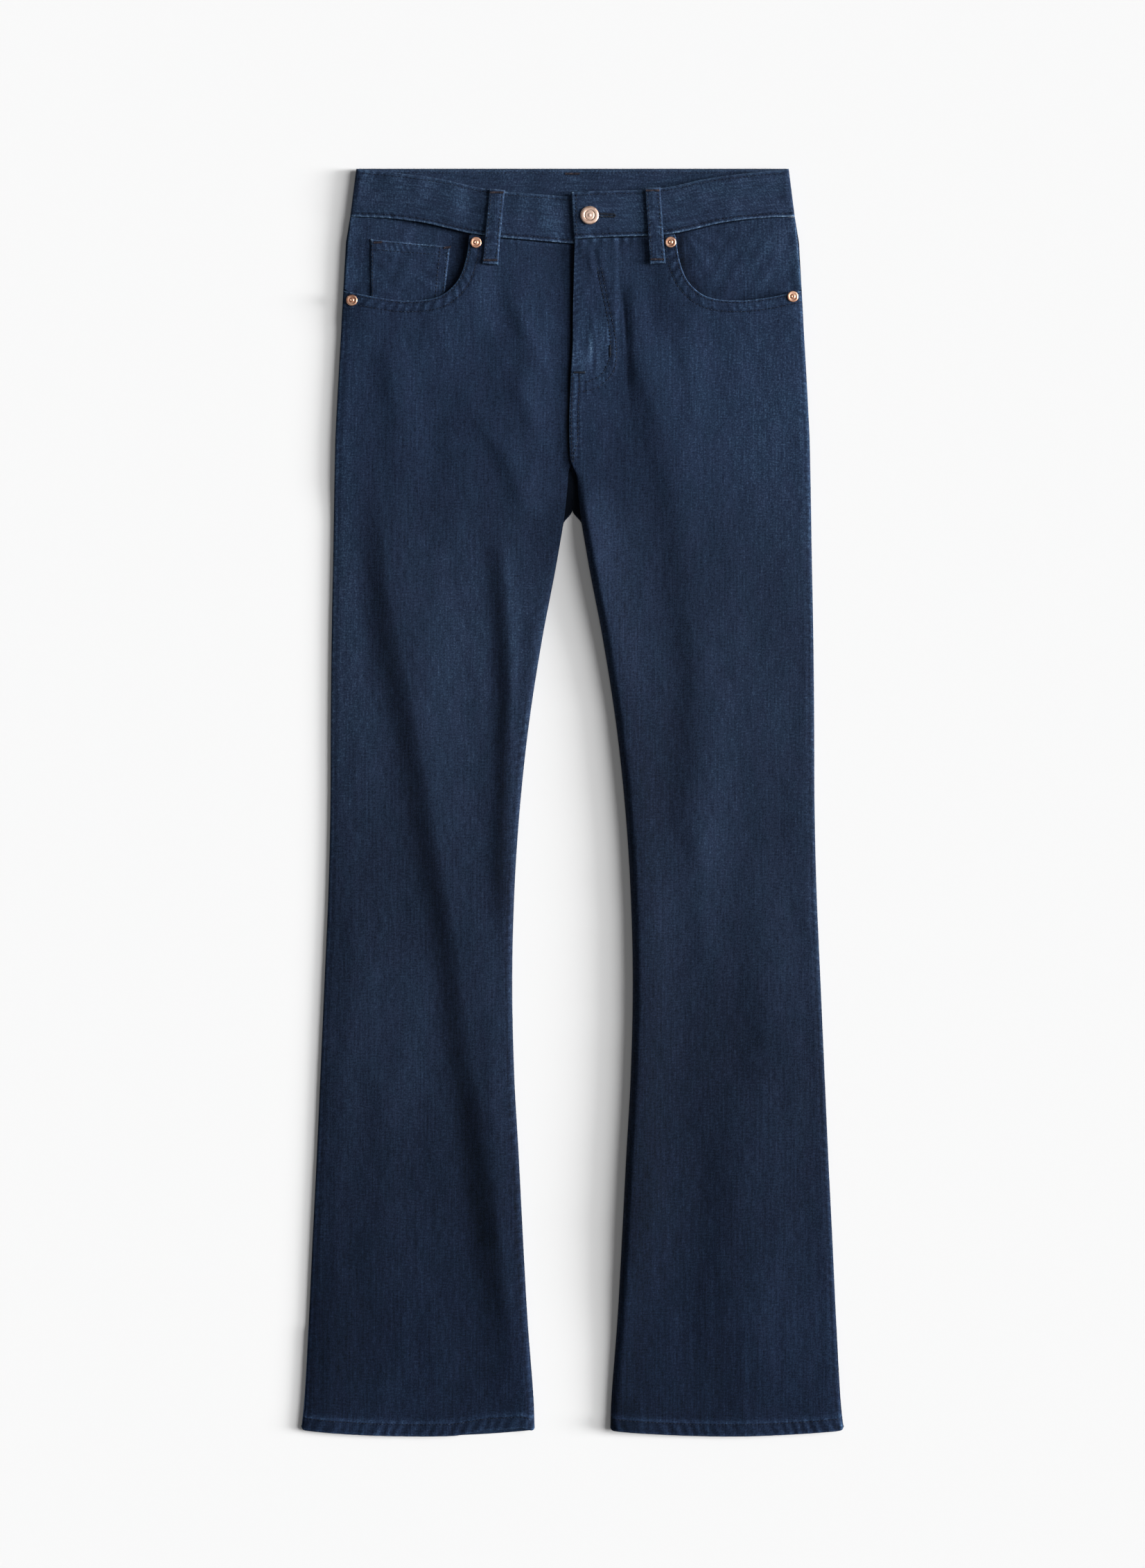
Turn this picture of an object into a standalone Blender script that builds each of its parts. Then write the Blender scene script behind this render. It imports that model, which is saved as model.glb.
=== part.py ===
"""Bootcut jeans laid flat on their back: waist towards +Y, front up, underside at z = 0.

Sizes are millimetres and become metres when a mesh is made. A place on the cloth is given as
across, from the centre line towards the side it is on, and down, from the back waist edge towards
the hems. Right and left are the wearer's: right is -X and left is +X. A named pair is where a
form starts to fade and where it has faded out.
"""

import math
from bisect import bisect_right
from collections import namedtuple

import bmesh
import bpy
from mathutils import Vector

METRE = 0.001
LAID_LENGTH = 1070.0  # back waist edge to the lowest point of the hems
RIGHT, LEFT = -1, 1
UP, UNDER = 1, -1

DENIM = 1.4  # one layer of denim
GAP = 0.3  # between pieces at a seam
SLACK = 0.05  # added where one layer lies right on another
FACING_THICK = 1.2
COIN_THICK = 1.0
BAND_THICK = 2.2  # two layers pressed together
LOOP_THICK = 1.6
UNDERLAY = 1.3  # patch pockets and belt loops under the seat
SEAT_LIFT = UNDERLAY + GAP  # the seat lies on its pockets, the legs lie on the surface
SEAT_LIFT_FADE = 255.0, 300.0

BODY = 4.3  # top of the front panels above the underside of the back ones
BODY_HIGH = 6.7  # the most that folds raise it to
BACK_ROLL = 2.2  # the back panels curl up this far at their outer edges
FRONT_ROLL = 4.0  # the front panels curl down over this width
ROLL_ANGLES = [math.radians(angle) for angle in (0, 30, 60, 90)]

# The outline of one leg and the seat: outer edge at the side seam, inner edge at the inseam.
LegRow = namedtuple("LegRow", "down outer inner")
LEG = [
    LegRow(0, 182.5, 3.0),
    LegRow(41, 187.6, 3.0),
    LegRow(70, 190.6, 3.0),
    LegRow(115, 193.9, 3.0),
    LegRow(220, 199.8, 3.0),
    LegRow(262, 200.9, 3.8),
    LegRow(292, 201.5, 6.6),
    LegRow(318, 201.9, 10.8),
    LegRow(344, 202.4, 15.4),
    LegRow(396, 203.4, 25.4),
    LegRow(466, 204.1, 36.4),
    LegRow(536, 204.4, 44.1),
    LegRow(607, 206.0, 48.9),
    LegRow(686, 209.4, 50.9),
    LegRow(765, 212.9, 49.2),
    LegRow(835, 216.0, 45.3),
    LegRow(905, 219.5, 41.7),
    LegRow(975, 222.7, 37.8),
    LegRow(1040, 226.2, 32.9),
    LegRow(1065, 228.7, 32.0),
]
LEG_STEP = 35.0  # between the rows of points down a leg
HEM_DOWN = 1065.0  # the hem at its two side edges
HEM_DIP = LAID_LENGTH - HEM_DOWN  # its middle hangs this much lower
HEM_DIP_START = 900.0
HEM_HEIGHT = 11.8
HEM_STEP = 0.8  # the hem's folded edge stands up over this length
HEM_RAISE = 0.9

# Waistband, seen from the front.
BandRow = namedtuple("BandRow", "across top bottom")
BAND = [
    BandRow(0, 24.2, 63.9),
    BandRow(38.6, 21.6, 60.8),
    BandRow(62, 19.6, 58.8),
    BandRow(86, 15.8, 55.6),
    BandRow(106, 11.1, 51.0),
    BandRow(126.4, 7.6, 46.4),
    BandRow(156, 3.9, 42.6),
    BandRow(187.6, 0.8, 41.0),
]
BAND_BACK_BOTTOM = 40.6
BAND_SIDE = 187.6
BAND_TOP_SHARE = 182.5 / BAND_SIDE  # the band leans in by this share at its top edge
BAND_UNDERSIDE = SEAT_LIFT
BAND_FRONT_TOP = 7.6
BAND_UNDER_END = 6.4  # top of the right end, which the tab laps over
BAND_TAB_TOP = 8.9
BAND_UNDER_RISE = 5.0, 45.0  # the right half comes up to the front's height between these
BAND_TAB_FALL = 30.0, 76.0
BAND_LAP = 24.0  # the right end goes on this far under the tab
TAB_EDGE_TOP, TAB_EDGE_BOTTOM = 1.2, -1.2  # how far past the centre line the tab's end reaches
TAB_LIFT = 3.6  # the buttoned tab sits this much higher up the front than the right end
TAB_LIFT_REACH = 0.0, 100.0
BAND_STATIONS = (10, 25, 40, 55, 70, 85, 100, 120, 140, 160, 175)
BAND_BACK_STATIONS = (170, 130, 90, 45, 0, -45, -90, -130, -170)
BAND_SHARES = (0, 0.33, 0.67, 1)
BAND_TURN_STEPS = 8

# The mouth of a front pocket, from the side seam to the waistband.
MouthPoint = namedtuple("MouthPoint", "across down")
MOUTH = [
    MouthPoint(193.0, 103.5),
    MouthPoint(165, 109.3),
    MouthPoint(140, 112.0),
    MouthPoint(114, 109.0),
    MouthPoint(98, 96.5),
    MouthPoint(90.2, 78.0),
    MouthPoint(87, 56.8),
]
MOUTH_PIECES = 8  # short straight pieces between two of its points
SEAM_PIECES = 24  # along the waist seam from the mouth to the fly
FAN_DOWN = 150.0  # below this the front panel's rows run straight across
FAN_SHARES = (0, 0.1, 0.24, 0.42, 0.62, 0.81)
BACK_FAN_SHARES = (0, 0.35, 0.7)
FRONT_BETWEEN = 21  # columns between the two rolled edges of a front panel
BACK_BETWEEN = 4
MOUTH_RISE = 1.9  # the front panel stands off the facing and coin pocket
MOUTH_RISE_FADE = 118.0, 150.0
MOUTH_RISE_START = 60.0, 84.0  # and rises between these, from the fly outwards

# The fly: the left panel's edge laps over the right panel down to the crotch.
FlyRow = namedtuple("FlyRow", "down across")
FLY = [
    FlyRow(60, 1.7),
    FlyRow(113, -0.3),
    FlyRow(145, 0.0),
    FlyRow(175, -1.6),
    FlyRow(215, -3.0),
    FlyRow(243, -2.4),
]
FLY_LAP = 8.0  # how far the right panel goes on under the left one
FLY_UNDER = DENIM + GAP + SLACK + DENIM  # top of the right panel under the lap
FLY_OVER = FLY_UNDER + GAP + SLACK + DENIM
FLY_REACH = 12.0, 44.0  # the lap's heights fade out over this width
FLY_PART = 243.0, 262.0  # the panels part at the crotch between these
LAP_PART = 234.0, 257.0  # the hidden lap turns in a little higher
CROTCH_ROLL = 250.0, 275.0  # the inseam starts to roll between these
FRONT_CROTCH_ROWS = (167, 184, 201, 218, 232, 242, 248, 254, 262, 273, 290, 310)
FLY_WIDTH = 37.5  # doubled area, out to the curved stitching
FLY_CURVE, FLY_BOTTOM = 165.0, 188.0  # between these the stitching curves back to the edge
FLY_RAISE = 0.6
FLY_SOFT = 3.0  # half the width over which the doubled area fades
TAB_RISE = 1.7  # the left panel's top stands up with the tab
TAB_RISE_FADE = 66.0, 112.0
TAB_RISE_REACH = 28.0, 62.0
FORK = 288.0, 330.0  # the back panels part between these
BACK_FORK_ROWS = (190, 230, 255, 270, 282, 288, 295, 302, 309, 316, 323, 330)

YOKE_SIDE, YOKE_CENTRE = 64.0, 108.0  # the yoke's lower seam
YOKE_SHARES = (0, 0.3, 0.6, 1)
SIDE_BULK, SIDE_BULK_REACH = 1.1, 5.0  # the thick end of that seam stands out at the side

# Soft ridges in the front panels. Steep is the side towards which the ridge falls quickly.
Fold = namedtuple("Fold", "across down to_across to_down bow height steep gentle")
FOLDS = {
    RIGHT: [
        Fold(158, 250, 112, 560, 8, 2.1, 12, 30),
        Fold(118, 500, 46, 985, -4, 2.4, 13, 30),
        Fold(64, 270, 55, 620, 0, 1.9, 9, 14),
        Fold(64, 100, 14, 200, 4, 1.0, -9, 9),
        Fold(64, 176, 20, 262, -3, 1.4, -10, 10),
        Fold(156, 140, 146, 240, 0, 0.7, 8, 13),
    ],
    LEFT: [
        Fold(52, 84, 92, 430, -5, 1.8, -9, 26),
        Fold(94, 390, 78, 570, -3, 1.8, -10, 24),
        Fold(102, 540, 112, 690, 0, 0.9, -9, 18),
        Fold(88, 110, 100, 200, 0, 0.7, -8, 14),
        Fold(150, 560, 168, 860, 6, 0.7, -10, 22),
    ],
}
FOLD_ENDS = 0.0, 0.2  # share of a fold's length over which it comes up at each end
FOLD_CLEAR = 6.0, 26.0  # folds come up between these distances from a rolled edge

# Pocket facings and coin pocket.
FACING_INNER = 79.0
FACING_BOTTOM = [
    MouthPoint(79, 90),
    MouthPoint(90, 104),
    MouthPoint(103, 113),
    MouthPoint(120, 119),
    MouthPoint(145, 120.5),
    MouthPoint(175, 115),
    MouthPoint(186, 106),
    MouthPoint(192, 102.2),
]
FACING_SHARES = (0, 0.09, 0.2, 0.34, 0.5, 0.66, 0.8, 0.9, 0.96, 1)
FACING_ROWS = 7
FACING_BULGE, FACING_BULGE_ACROSS, FACING_BULGE_REACH = 1.2, 165.0, 24.0
FACING_BULGE_FADE = 70.0, 98.0
FACING_EDGE = -10.0, -1.0  # it climbs onto the curled side edge between these
COIN_TOP = (103.1, 66.2), (170.6, 59.9)  # across and down of its two top corners
COIN_BOTTOM = (108.4, 111.0), (170.2, 114.5)
COIN_STEPS = 6

Loop = namedtuple("Loop", "name side top_across top_down across down")
FRONT_LOOPS = [
    Loop("belt_loop_front_right", RIGHT, 63.5, 18.6, 69.4, 81.9),
    Loop("belt_loop_front_left", LEFT, 67.3, 17.0, 71.7, 81.3),
]
BACK_LOOPS = [
    Loop("belt_loop_back_centre", LEFT, 0, 0.4, 0, 64),
    Loop("belt_loop_back_right", RIGHT, 122, 0.4, 126, 64),
    Loop("belt_loop_back_left", LEFT, 122, 0.4, 126, 64),
]
LOOP_WIDTH = 13.0
LOOP_COLUMNS = (-0.5, -0.17, 0.17, 0.5)  # shares of its width
LOOP_BOW = 1.0
LOOP_END, LOOP_END_RAISE = 0.08, 0.5  # the tucked ends are this share of it, and thicker
LOOP_SHARES = (0, 0.07, 0.1, 0.25, 0.42, 0.6, 0.76, 0.9, 0.93, 1)
LOOP_FEEL = 4.0  # it rides over what lies this near to it
TRIM_CLEAR = 0.35  # loops, button and rivets stand off the cloth this much

BACK_POCKET_TOP_WIDTH, BACK_POCKET_LOW_WIDTH = 138.0, 122.0
BACK_POCKET_SIDE, BACK_POCKET_POINT = 124.0, 145.0
BACK_POCKET_ACROSS, BACK_POCKET_DOWN = 98.0, 104.0  # middle of its top edge
BACK_POCKET_TILT = math.radians(4)

Ring = namedtuple("Ring", "radius height")
BUTTON_ACROSS, BUTTON_DOWN = 14.4, 40.6
BUTTON_RINGS = [
    Ring(7.2, 0),
    Ring(7.75, 0.5),
    Ring(7.75, 1.2),
    Ring(7.1, 1.9),
    Ring(5.2, 1.9),
    Ring(4.5, 1.5),
    Ring(4.2, 1.5),
    Ring(1.4, 1.9),
]
BUTTON_PEAK, BUTTON_TURNS = 1.6, 28
Rivet = namedtuple("Rivet", "name side across down")
RIVETS = [
    Rivet("rivet_right_inner", RIGHT, 81.4, 63.2),
    Rivet("rivet_right_outer", RIGHT, 186.0, 111.7),
    Rivet("rivet_left_inner", LEFT, 82.6, 62.9),
    Rivet("rivet_left_outer", LEFT, 185.6, 108.8),
]
RIVET_RINGS = [
    Ring(4.6, 0),
    Ring(4.7, 0.4),
    Ring(4.1, 0.9),
    Ring(2.6, 0.7),
    Ring(1.6, 0.6),
    Ring(1.2, 1.2),
]
RIVET_PEAK, RIVET_TURNS = 1.4, 16

DENIM_COLOUR = (0.0160, 0.0252, 0.0513)
DENIM_DARK = (0.0123, 0.0185, 0.0382)
COPPER = (0.83, 0.52, 0.38)
ROSE_GOLD = (0.87, 0.66, 0.52)
SMOOTH_ANGLE = math.radians(40)


def ease(low, high, at):
    """0 below low, 1 above high and smooth between them."""
    t = min(max((at - low) / (high - low), 0.0), 1.0)
    return t * t * (3 - 2 * t)


def mix(first, second, share):
    return first + (second - first) * share


def bell(distance, reach):
    return math.exp(-((distance / reach) ** 2))


def read(rows, key, column, at):
    """One column of a table at a place between its rows, on a smooth curve through them."""
    places = [getattr(row, key) for row in rows]
    values = [getattr(row, column) for row in rows]
    if at <= places[0]:
        return values[0]
    if at >= places[-1]:
        return values[-1]
    i = bisect_right(places, at) - 1

    def slope(k):
        low, high = max(k - 1, 0), min(k + 1, len(rows) - 1)
        return (values[high] - values[low]) / (places[high] - places[low])

    step = places[i + 1] - places[i]
    t = (at - places[i]) / step
    start = (1 + 2 * t) * (1 - t) ** 2 * values[i] + t * (1 - t) ** 2 * step * slope(i)
    end = t * t * (3 - 2 * t) * values[i + 1] + t * t * (t - 1) * step * slope(i + 1)
    return start + end


def spline(a, b, c, d, t):
    """From b at t = 0 to c at t = 1, smooth with what comes before and after."""
    bend = (2 * a - 5 * b + 4 * c - d) * t * t + (3 * b - a - 3 * c + d) * t**3
    return 0.5 * (2 * b + (c - a) * t + bend)


def smooth_path(points, pieces):
    """A curve through the points, as many short straight pieces between each two of them."""
    found = []
    for i in range(len(points) - 1):
        before, after = points[max(i - 1, 0)], points[min(i + 2, len(points) - 1)]
        corners = list(zip(before, points[i], points[i + 1], after))
        for k in range(pieces):
            found.append(tuple(spline(*four, k / pieces) for four in corners))
    return found + [tuple(points[-1])]


def along(path, lengths):
    """The points that lie at these lengths along a path."""
    reach = [0.0]
    for first, second in zip(path, path[1:]):
        reach.append(reach[-1] + math.dist(first, second))
    found = []
    for length in lengths:
        i = min(bisect_right(reach, length) - 1, len(path) - 2)
        share = (length - reach[i]) / (reach[i + 1] - reach[i])
        found.append(tuple(mix(a, b, share) for a, b in zip(path[i], path[i + 1])))
    return found


def path_length(path):
    return sum(math.dist(first, second) for first, second in zip(path, path[1:]))


def point(side, across, down, height):
    return Vector((side * across, LAID_LENGTH / 2 - down, height))


# Heights of the layers.


def lift(down):
    return SEAT_LIFT * (1 - ease(*SEAT_LIFT_FADE, down))


def relief(side, across, down):
    """How far the folds raise the front panel here."""
    total = 0.0
    for fold in FOLDS[side]:
        run = Vector((fold.to_across - fold.across, fold.to_down - fold.down))
        here = Vector((across - fold.across, down - fold.down))
        share = here.dot(run) / run.length_squared
        if not 0 < share < 1:
            continue
        off = (here.x * run.y - here.y * run.x) / run.length - fold.bow * 4 * share * (1 - share)
        reach = abs(fold.steep) if off * fold.steep > 0 else fold.gentle
        ends = ease(*FOLD_ENDS, share) * ease(*FOLD_ENDS, 1 - share)
        total += fold.height * ends * bell(off, reach)
    return total


def front_top(side, across, down):
    """Height of a front panel's outer face away from its rolled edges."""
    outer = read(LEG, "down", "outer", down)
    inner = read(LEG, "down", "inner", down) if down > FLY_PART[1] else -FRONT_ROLL
    clear = ease(*FOLD_CLEAR, outer - across) * ease(*FOLD_CLEAR, across - inner + FOLD_CLEAR[0])
    body = min(BODY + relief(side, across, down) * clear, BODY_HIGH)
    body += MOUTH_RISE * (1 - ease(*MOUTH_RISE_FADE, down)) * ease(*MOUTH_RISE_START, across)
    near_fly = (1 - ease(*FLY_REACH, across)) * (1 - ease(FLY_PART[1], SEAT_LIFT_FADE[1], down))
    body = mix(body, FLY_OVER if side == LEFT else FLY_UNDER, near_fly)
    if side == LEFT:
        body += TAB_RISE * (1 - ease(*TAB_RISE_FADE, down)) * (1 - ease(*TAB_RISE_REACH, across))
    return lift(down) + body


def front_raise(side, across, down, inset):
    """How much thicker the front panel is: the fly's doubled area on the left one."""
    if side == RIGHT or inset <= 0:
        return 0.0
    drop = max(down - FLY_CURVE, 0) / (FLY_BOTTOM - FLY_CURVE)
    width = FLY_WIDTH * math.sqrt(max(1 - drop * drop, 0))
    beside = 1 - ease(width - FLY_SOFT, width + FLY_SOFT, across)
    above = 1 - ease(FLY_BOTTOM - FLY_SOFT, FLY_BOTTOM + FLY_SOFT, down)
    return FLY_RAISE * beside * above


def facing_top(side, across, down):
    """Height of a pocket facing's outer face."""
    bulge = FACING_BULGE * bell(across - FACING_BULGE_ACROSS, FACING_BULGE_REACH)
    bulge *= 1 - ease(*FACING_BULGE_FADE, down)
    outer = read(LEG, "down", "outer", down)
    at_side = (BACK_ROLL - DENIM) * ease(*FACING_EDGE, across - outer)
    return lift(down) + DENIM + GAP + FACING_THICK + bulge + at_side


def band_edges(side, across):
    """Down of the waistband's top and bottom edge at the front."""
    raised = TAB_LIFT * (1 - ease(*TAB_LIFT_REACH, across)) if side == LEFT else 0
    return [read(BAND, "across", column, across) - raised for column in ("top", "bottom")]


def band_top(side, across):
    """Height of the front waistband's outer face."""
    if side == RIGHT:
        return mix(BAND_UNDER_END, BAND_FRONT_TOP, ease(*BAND_UNDER_RISE, across))
    return mix(BAND_TAB_TOP, BAND_FRONT_TOP, ease(*BAND_TAB_FALL, across))


def surface_top(side, across, down):
    """Height of whatever the front shows here: waistband or panel."""
    if down < band_edges(side, across)[1] + GAP:
        return band_top(side, across)
    return front_top(side, across, down)


# Meshes.


def material(name, colour, roughness, metallic):
    made = bpy.data.materials.new(name)
    made.use_nodes = True
    shader = made.node_tree.nodes["Principled BSDF"]
    shader.inputs["Base Color"].default_value = (*colour, 1)
    shader.inputs["Roughness"].default_value = roughness
    shader.inputs["Metallic"].default_value = metallic
    made.diffuse_color = (*colour, 1)
    return made


def cloth(name, colour=DENIM_COLOUR):
    return material(name, colour, 0.9, 0.0)


def add_object(name, built, finish):
    """One named object from a finished bmesh, shaded smooth but for its sharp edges."""
    bmesh.ops.recalc_face_normals(built, faces=built.faces)
    mesh = bpy.data.meshes.new(name)
    built.to_mesh(mesh)
    built.free()
    mesh.materials.append(finish)
    mesh.shade_smooth()
    mesh.set_sharp_from_angle(angle=SMOOTH_ANGLE)
    added = bpy.data.objects.new(name, mesh)
    bpy.context.scene.collection.objects.link(added)


def grid_normals(grid, facing):
    """Unit normals of a grid of points. At the grid's middle they face up or under."""
    rows, columns = len(grid), len(grid[0])
    found = []
    for r in range(rows):
        line = []
        for c in range(columns):
            down_row = grid[min(r + 1, rows - 1)][c] - grid[max(r - 1, 0)][c]
            over_column = grid[r][min(c + 1, columns - 1)] - grid[r][max(c - 1, 0)]
            line.append(down_row.cross(over_column).normalized())
        found.append(line)
    if found[rows // 2][columns // 2].z * facing < 0:
        found = [[-normal for normal in line] for line in found]
    return found


def wall(name, grid, thickness, finish, facing=UP, raised=None, ends=None):
    """A cloth wall: the grid is its outer face, and raised lifts that face alone.

    Ends are the normals of each row's first and last point, where its edges roll over.
    """
    rows, columns = len(grid), len(grid[0])
    normals = grid_normals(grid, facing)
    if ends:
        for line, (first, last) in zip(normals, ends):
            line[0], line[-1] = first, last
    built = bmesh.new()

    def layer(offset):
        places = [
            [grid[r][c] + normals[r][c] * offset(r, c) for c in range(columns)]
            for r in range(rows)
        ]
        return [[built.verts.new(place * METRE) for place in line] for line in places]

    outer = layer(lambda r, c: raised[r][c] if raised else 0.0)
    inner = layer(lambda r, c: -thickness)
    for r in range(rows - 1):
        for c in range(columns - 1):
            for face, turn in ((outer, 1), (inner, -1)):
                ring = [face[r][c], face[r][c + 1], face[r + 1][c + 1], face[r + 1][c]]
                built.faces.new(ring[::turn])
    rim = [(0, c) for c in range(columns)]
    rim += [(r, columns - 1) for r in range(1, rows)]
    rim += [(rows - 1, c) for c in range(columns - 2, -1, -1)]
    rim += [(r, 0) for r in range(rows - 2, 0, -1)]
    for (r, c), (s, d) in zip(rim, rim[1:] + rim[:1]):
        built.faces.new([outer[s][d], outer[r][c], inner[r][c], inner[s][d]])
    add_object(name, built, finish)


def turned(name, rings, peak, turns, place, finish):
    """A round metal piece, from its base's rim to the middle of its face."""
    built = bmesh.new()
    angles = [2 * math.pi * k / turns for k in range(turns)]
    circles = []
    for ring in rings:
        spots = [
            Vector((ring.radius * math.cos(a), ring.radius * math.sin(a), ring.height))
            for a in angles
        ]
        circles.append([built.verts.new((place + spot) * METRE) for spot in spots])
    middle = built.verts.new((place + Vector((0, 0, peak))) * METRE)
    for low, high in zip(circles, circles[1:]):
        for k in range(turns):
            n = (k + 1) % turns
            built.faces.new([low[k], low[n], high[n], high[k]])
    for k in range(turns):
        built.faces.new([circles[-1][k], circles[-1][(k + 1) % turns], middle])
    built.faces.new(circles[0][::-1])
    add_object(name, built, finish)


# Front and back panels.


def columns_between(outer, inner, roll, between):
    """Across places from the outer to the inner edge, close together where the edges roll."""
    insets = [roll * (1 - math.cos(angle)) for angle in ROLL_ANGLES]
    start, end = outer - roll, inner + roll
    middle = [mix(start, end, k / between) for k in range(1, between)]
    return [outer - inset for inset in insets] + middle + [inner + inset for inset in insets[::-1]]


def roll_shares(between, inner_roll):
    """How far each column has risen from the seam, 0 to 1."""
    rises = [math.sin(angle) for angle in ROLL_ANGLES]
    inner = [mix(1, rise, inner_roll) for rise in rises[::-1]]
    return rises + [1.0] * (between - 1) + inner


def roll_normals(side, facing, inner_roll):
    """Normals at a row's ends: level at the side seam, turned as far as the inner edge rolls."""
    inner = Vector((-side * inner_roll, 0, facing * (1 - inner_roll)))
    return Vector((side, 0, 0)), inner.normalized()


def hem_down(down, share):
    """A straight row bent towards the hem's dip, for a share across the leg."""
    return down + HEM_DIP * 4 * share * (1 - share) * ease(HEM_DIP_START, HEM_DOWN, down)


def leg_rows(crotch_rows):
    """Where the rows of points lie below the fan, close together at the crotch and the hem."""
    hem = HEM_DOWN - HEM_HEIGHT
    rows = [FAN_DOWN, *crotch_rows]
    steps = round((hem - rows[-1]) / LEG_STEP)
    rows += [mix(rows[-1], hem, k / steps) for k in range(1, steps + 1)]
    return rows + [hem + HEM_STEP, mix(hem, HEM_DOWN, 0.5), HEM_DOWN]


def front_inner(side, down):
    """The front panel's edge at the centre line and down the inseam."""
    leg = read(LEG, "down", "inner", down)
    if side == LEFT:
        return mix(read(FLY, "down", "across", down), leg, ease(*FLY_PART, down))
    return mix(-FLY_LAP, leg, ease(*LAP_PART, down))


def front_top_edge(side):
    """The pocket mouth and then the waist seam, as across and down places."""
    start, end = MOUTH[-1].across, front_inner(side, FLY[0].down)
    edge = smooth_path(MOUTH, MOUTH_PIECES)
    for k in range(1, SEAM_PIECES + 1):
        across = mix(start, end, k / SEAM_PIECES)
        edge.append((across, band_edges(side, max(across, 0))[1] + GAP))
    return edge


def straight_row(down, outer, inner, roll, between):
    places = columns_between(outer, inner, roll, between)
    return [(a, hem_down(down, (outer - a) / (outer - inner))) for a in places]


def front_panel(name, side):
    edge = front_top_edge(side)
    lengths = columns_between(path_length(edge), 0, FRONT_ROLL, FRONT_BETWEEN)
    top = along(edge, lengths[::-1])
    rows = leg_rows(FRONT_CROTCH_ROWS)
    lower = []
    for down in rows:
        outer, inner = read(LEG, "down", "outer", down), front_inner(side, down)
        lower.append(straight_row(down, outer, inner, FRONT_ROLL, FRONT_BETWEEN))
    fan = [
        [(mix(t[0], a, share), mix(t[1], down, share)) for t, (a, down) in zip(top, lower[0])]
        for share in FAN_SHARES
    ]

    grid, raised, ends = [], [], []
    for places in fan + lower:
        inner_roll = ease(*CROTCH_ROLL, places[-1][1])
        line, lifts = [], []
        for (across, down), share in zip(places, roll_shares(FRONT_BETWEEN, inner_roll)):
            seam_height = lift(down) + BACK_ROLL + GAP
            height = mix(seam_height, front_top(side, across, down), share)
            line.append(point(side, across, down, height))
            lifts.append(front_raise(side, across, down, places[0][0] - across))
        grid.append(line)
        raised.append(lifts)
        ends.append(roll_normals(side, UP, inner_roll))
    hem_row = len(fan) + rows.index(HEM_DOWN - HEM_HEIGHT)
    for lifts in raised[hem_row + 1 :]:
        lifts[:] = [HEM_RAISE] * len(lifts)
    wall(name, grid, DENIM, cloth(name), UP, raised, ends)


def yoke_seam(across):
    return mix(YOKE_CENTRE, YOKE_SIDE, across / BAND_SIDE)


def back_outer(down):
    return read(LEG, "down", "outer", down) + SIDE_BULK * bell(down - YOKE_SIDE, SIDE_BULK_REACH)


def back_inner(down):
    return mix(GAP / 2, read(LEG, "down", "inner", down), ease(*FORK, down))


def back_wall(name, side, flat):
    """A wall of the back from rows of across and down places, curled up at its outer edges."""
    grid, ends = [], []
    for places in flat:
        inner_roll = ease(*FORK, places[-1][1])
        line = []
        for (across, down), share in zip(places, roll_shares(BACK_BETWEEN, inner_roll)):
            line.append(point(side, across, down, lift(down) + BACK_ROLL * (1 - share)))
        grid.append(line)
        ends.append(roll_normals(side, UNDER, inner_roll))
    wall(name, grid, DENIM, cloth(name, DENIM_DARK), UNDER, ends=ends)


def back_panel(name, side):
    lower = [
        straight_row(down, back_outer(down), back_inner(down), BACK_ROLL, BACK_BETWEEN)
        for down in leg_rows(BACK_FORK_ROWS)
    ]
    starts = columns_between(back_outer(YOKE_SIDE), GAP / 2, BACK_ROLL, BACK_BETWEEN)
    fan = []
    for share in BACK_FAN_SHARES:
        line = []
        for start, (across, down) in zip(starts, lower[0]):
            line.append((mix(start, across, share), mix(yoke_seam(start) + GAP / 2, down, share)))
        fan.append(line)
    back_wall(name, side, fan + lower)


def back_yoke(name, side):
    highs = columns_between(back_outer(BAND_BACK_BOTTOM), GAP / 2, BACK_ROLL, BACK_BETWEEN)
    lows = columns_between(back_outer(YOKE_SIDE), GAP / 2, BACK_ROLL, BACK_BETWEEN)
    flat = []
    for share in YOKE_SHARES:
        line = []
        for high, low in zip(highs, lows):
            down = mix(BAND_BACK_BOTTOM + GAP, yoke_seam(low) - GAP / 2, share)
            line.append((mix(high, low, share), down))
        flat.append(line)
    back_wall(name, side, flat)


# Waistband.


def band_column(side, across, height, at_back=0.0):
    """One line of points from the waistband's top edge to its bottom edge."""
    top, bottom = band_edges(side, max(across, 0))
    top, bottom = mix(top, 0, at_back), mix(bottom, BAND_BACK_BOTTOM, at_back)
    return [
        point(side, across * mix(BAND_TOP_SHARE, 1, share), mix(top, bottom, share), height)
        for share in BAND_SHARES
    ]


def band_turn(side):
    """Columns round the side, from the front's outer face to the underside."""
    radius = (BAND_FRONT_TOP - BAND_UNDERSIDE) / 2
    found = []
    for k in range(BAND_TURN_STEPS + 1):
        share = k / BAND_TURN_STEPS
        angle = math.pi * (0.5 - share)
        across = BAND_SIDE - radius * (1 - math.cos(angle))
        height = BAND_UNDERSIDE + radius * (1 + math.sin(angle))
        found.append(band_column(side, across, height, share))
    return found


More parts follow.
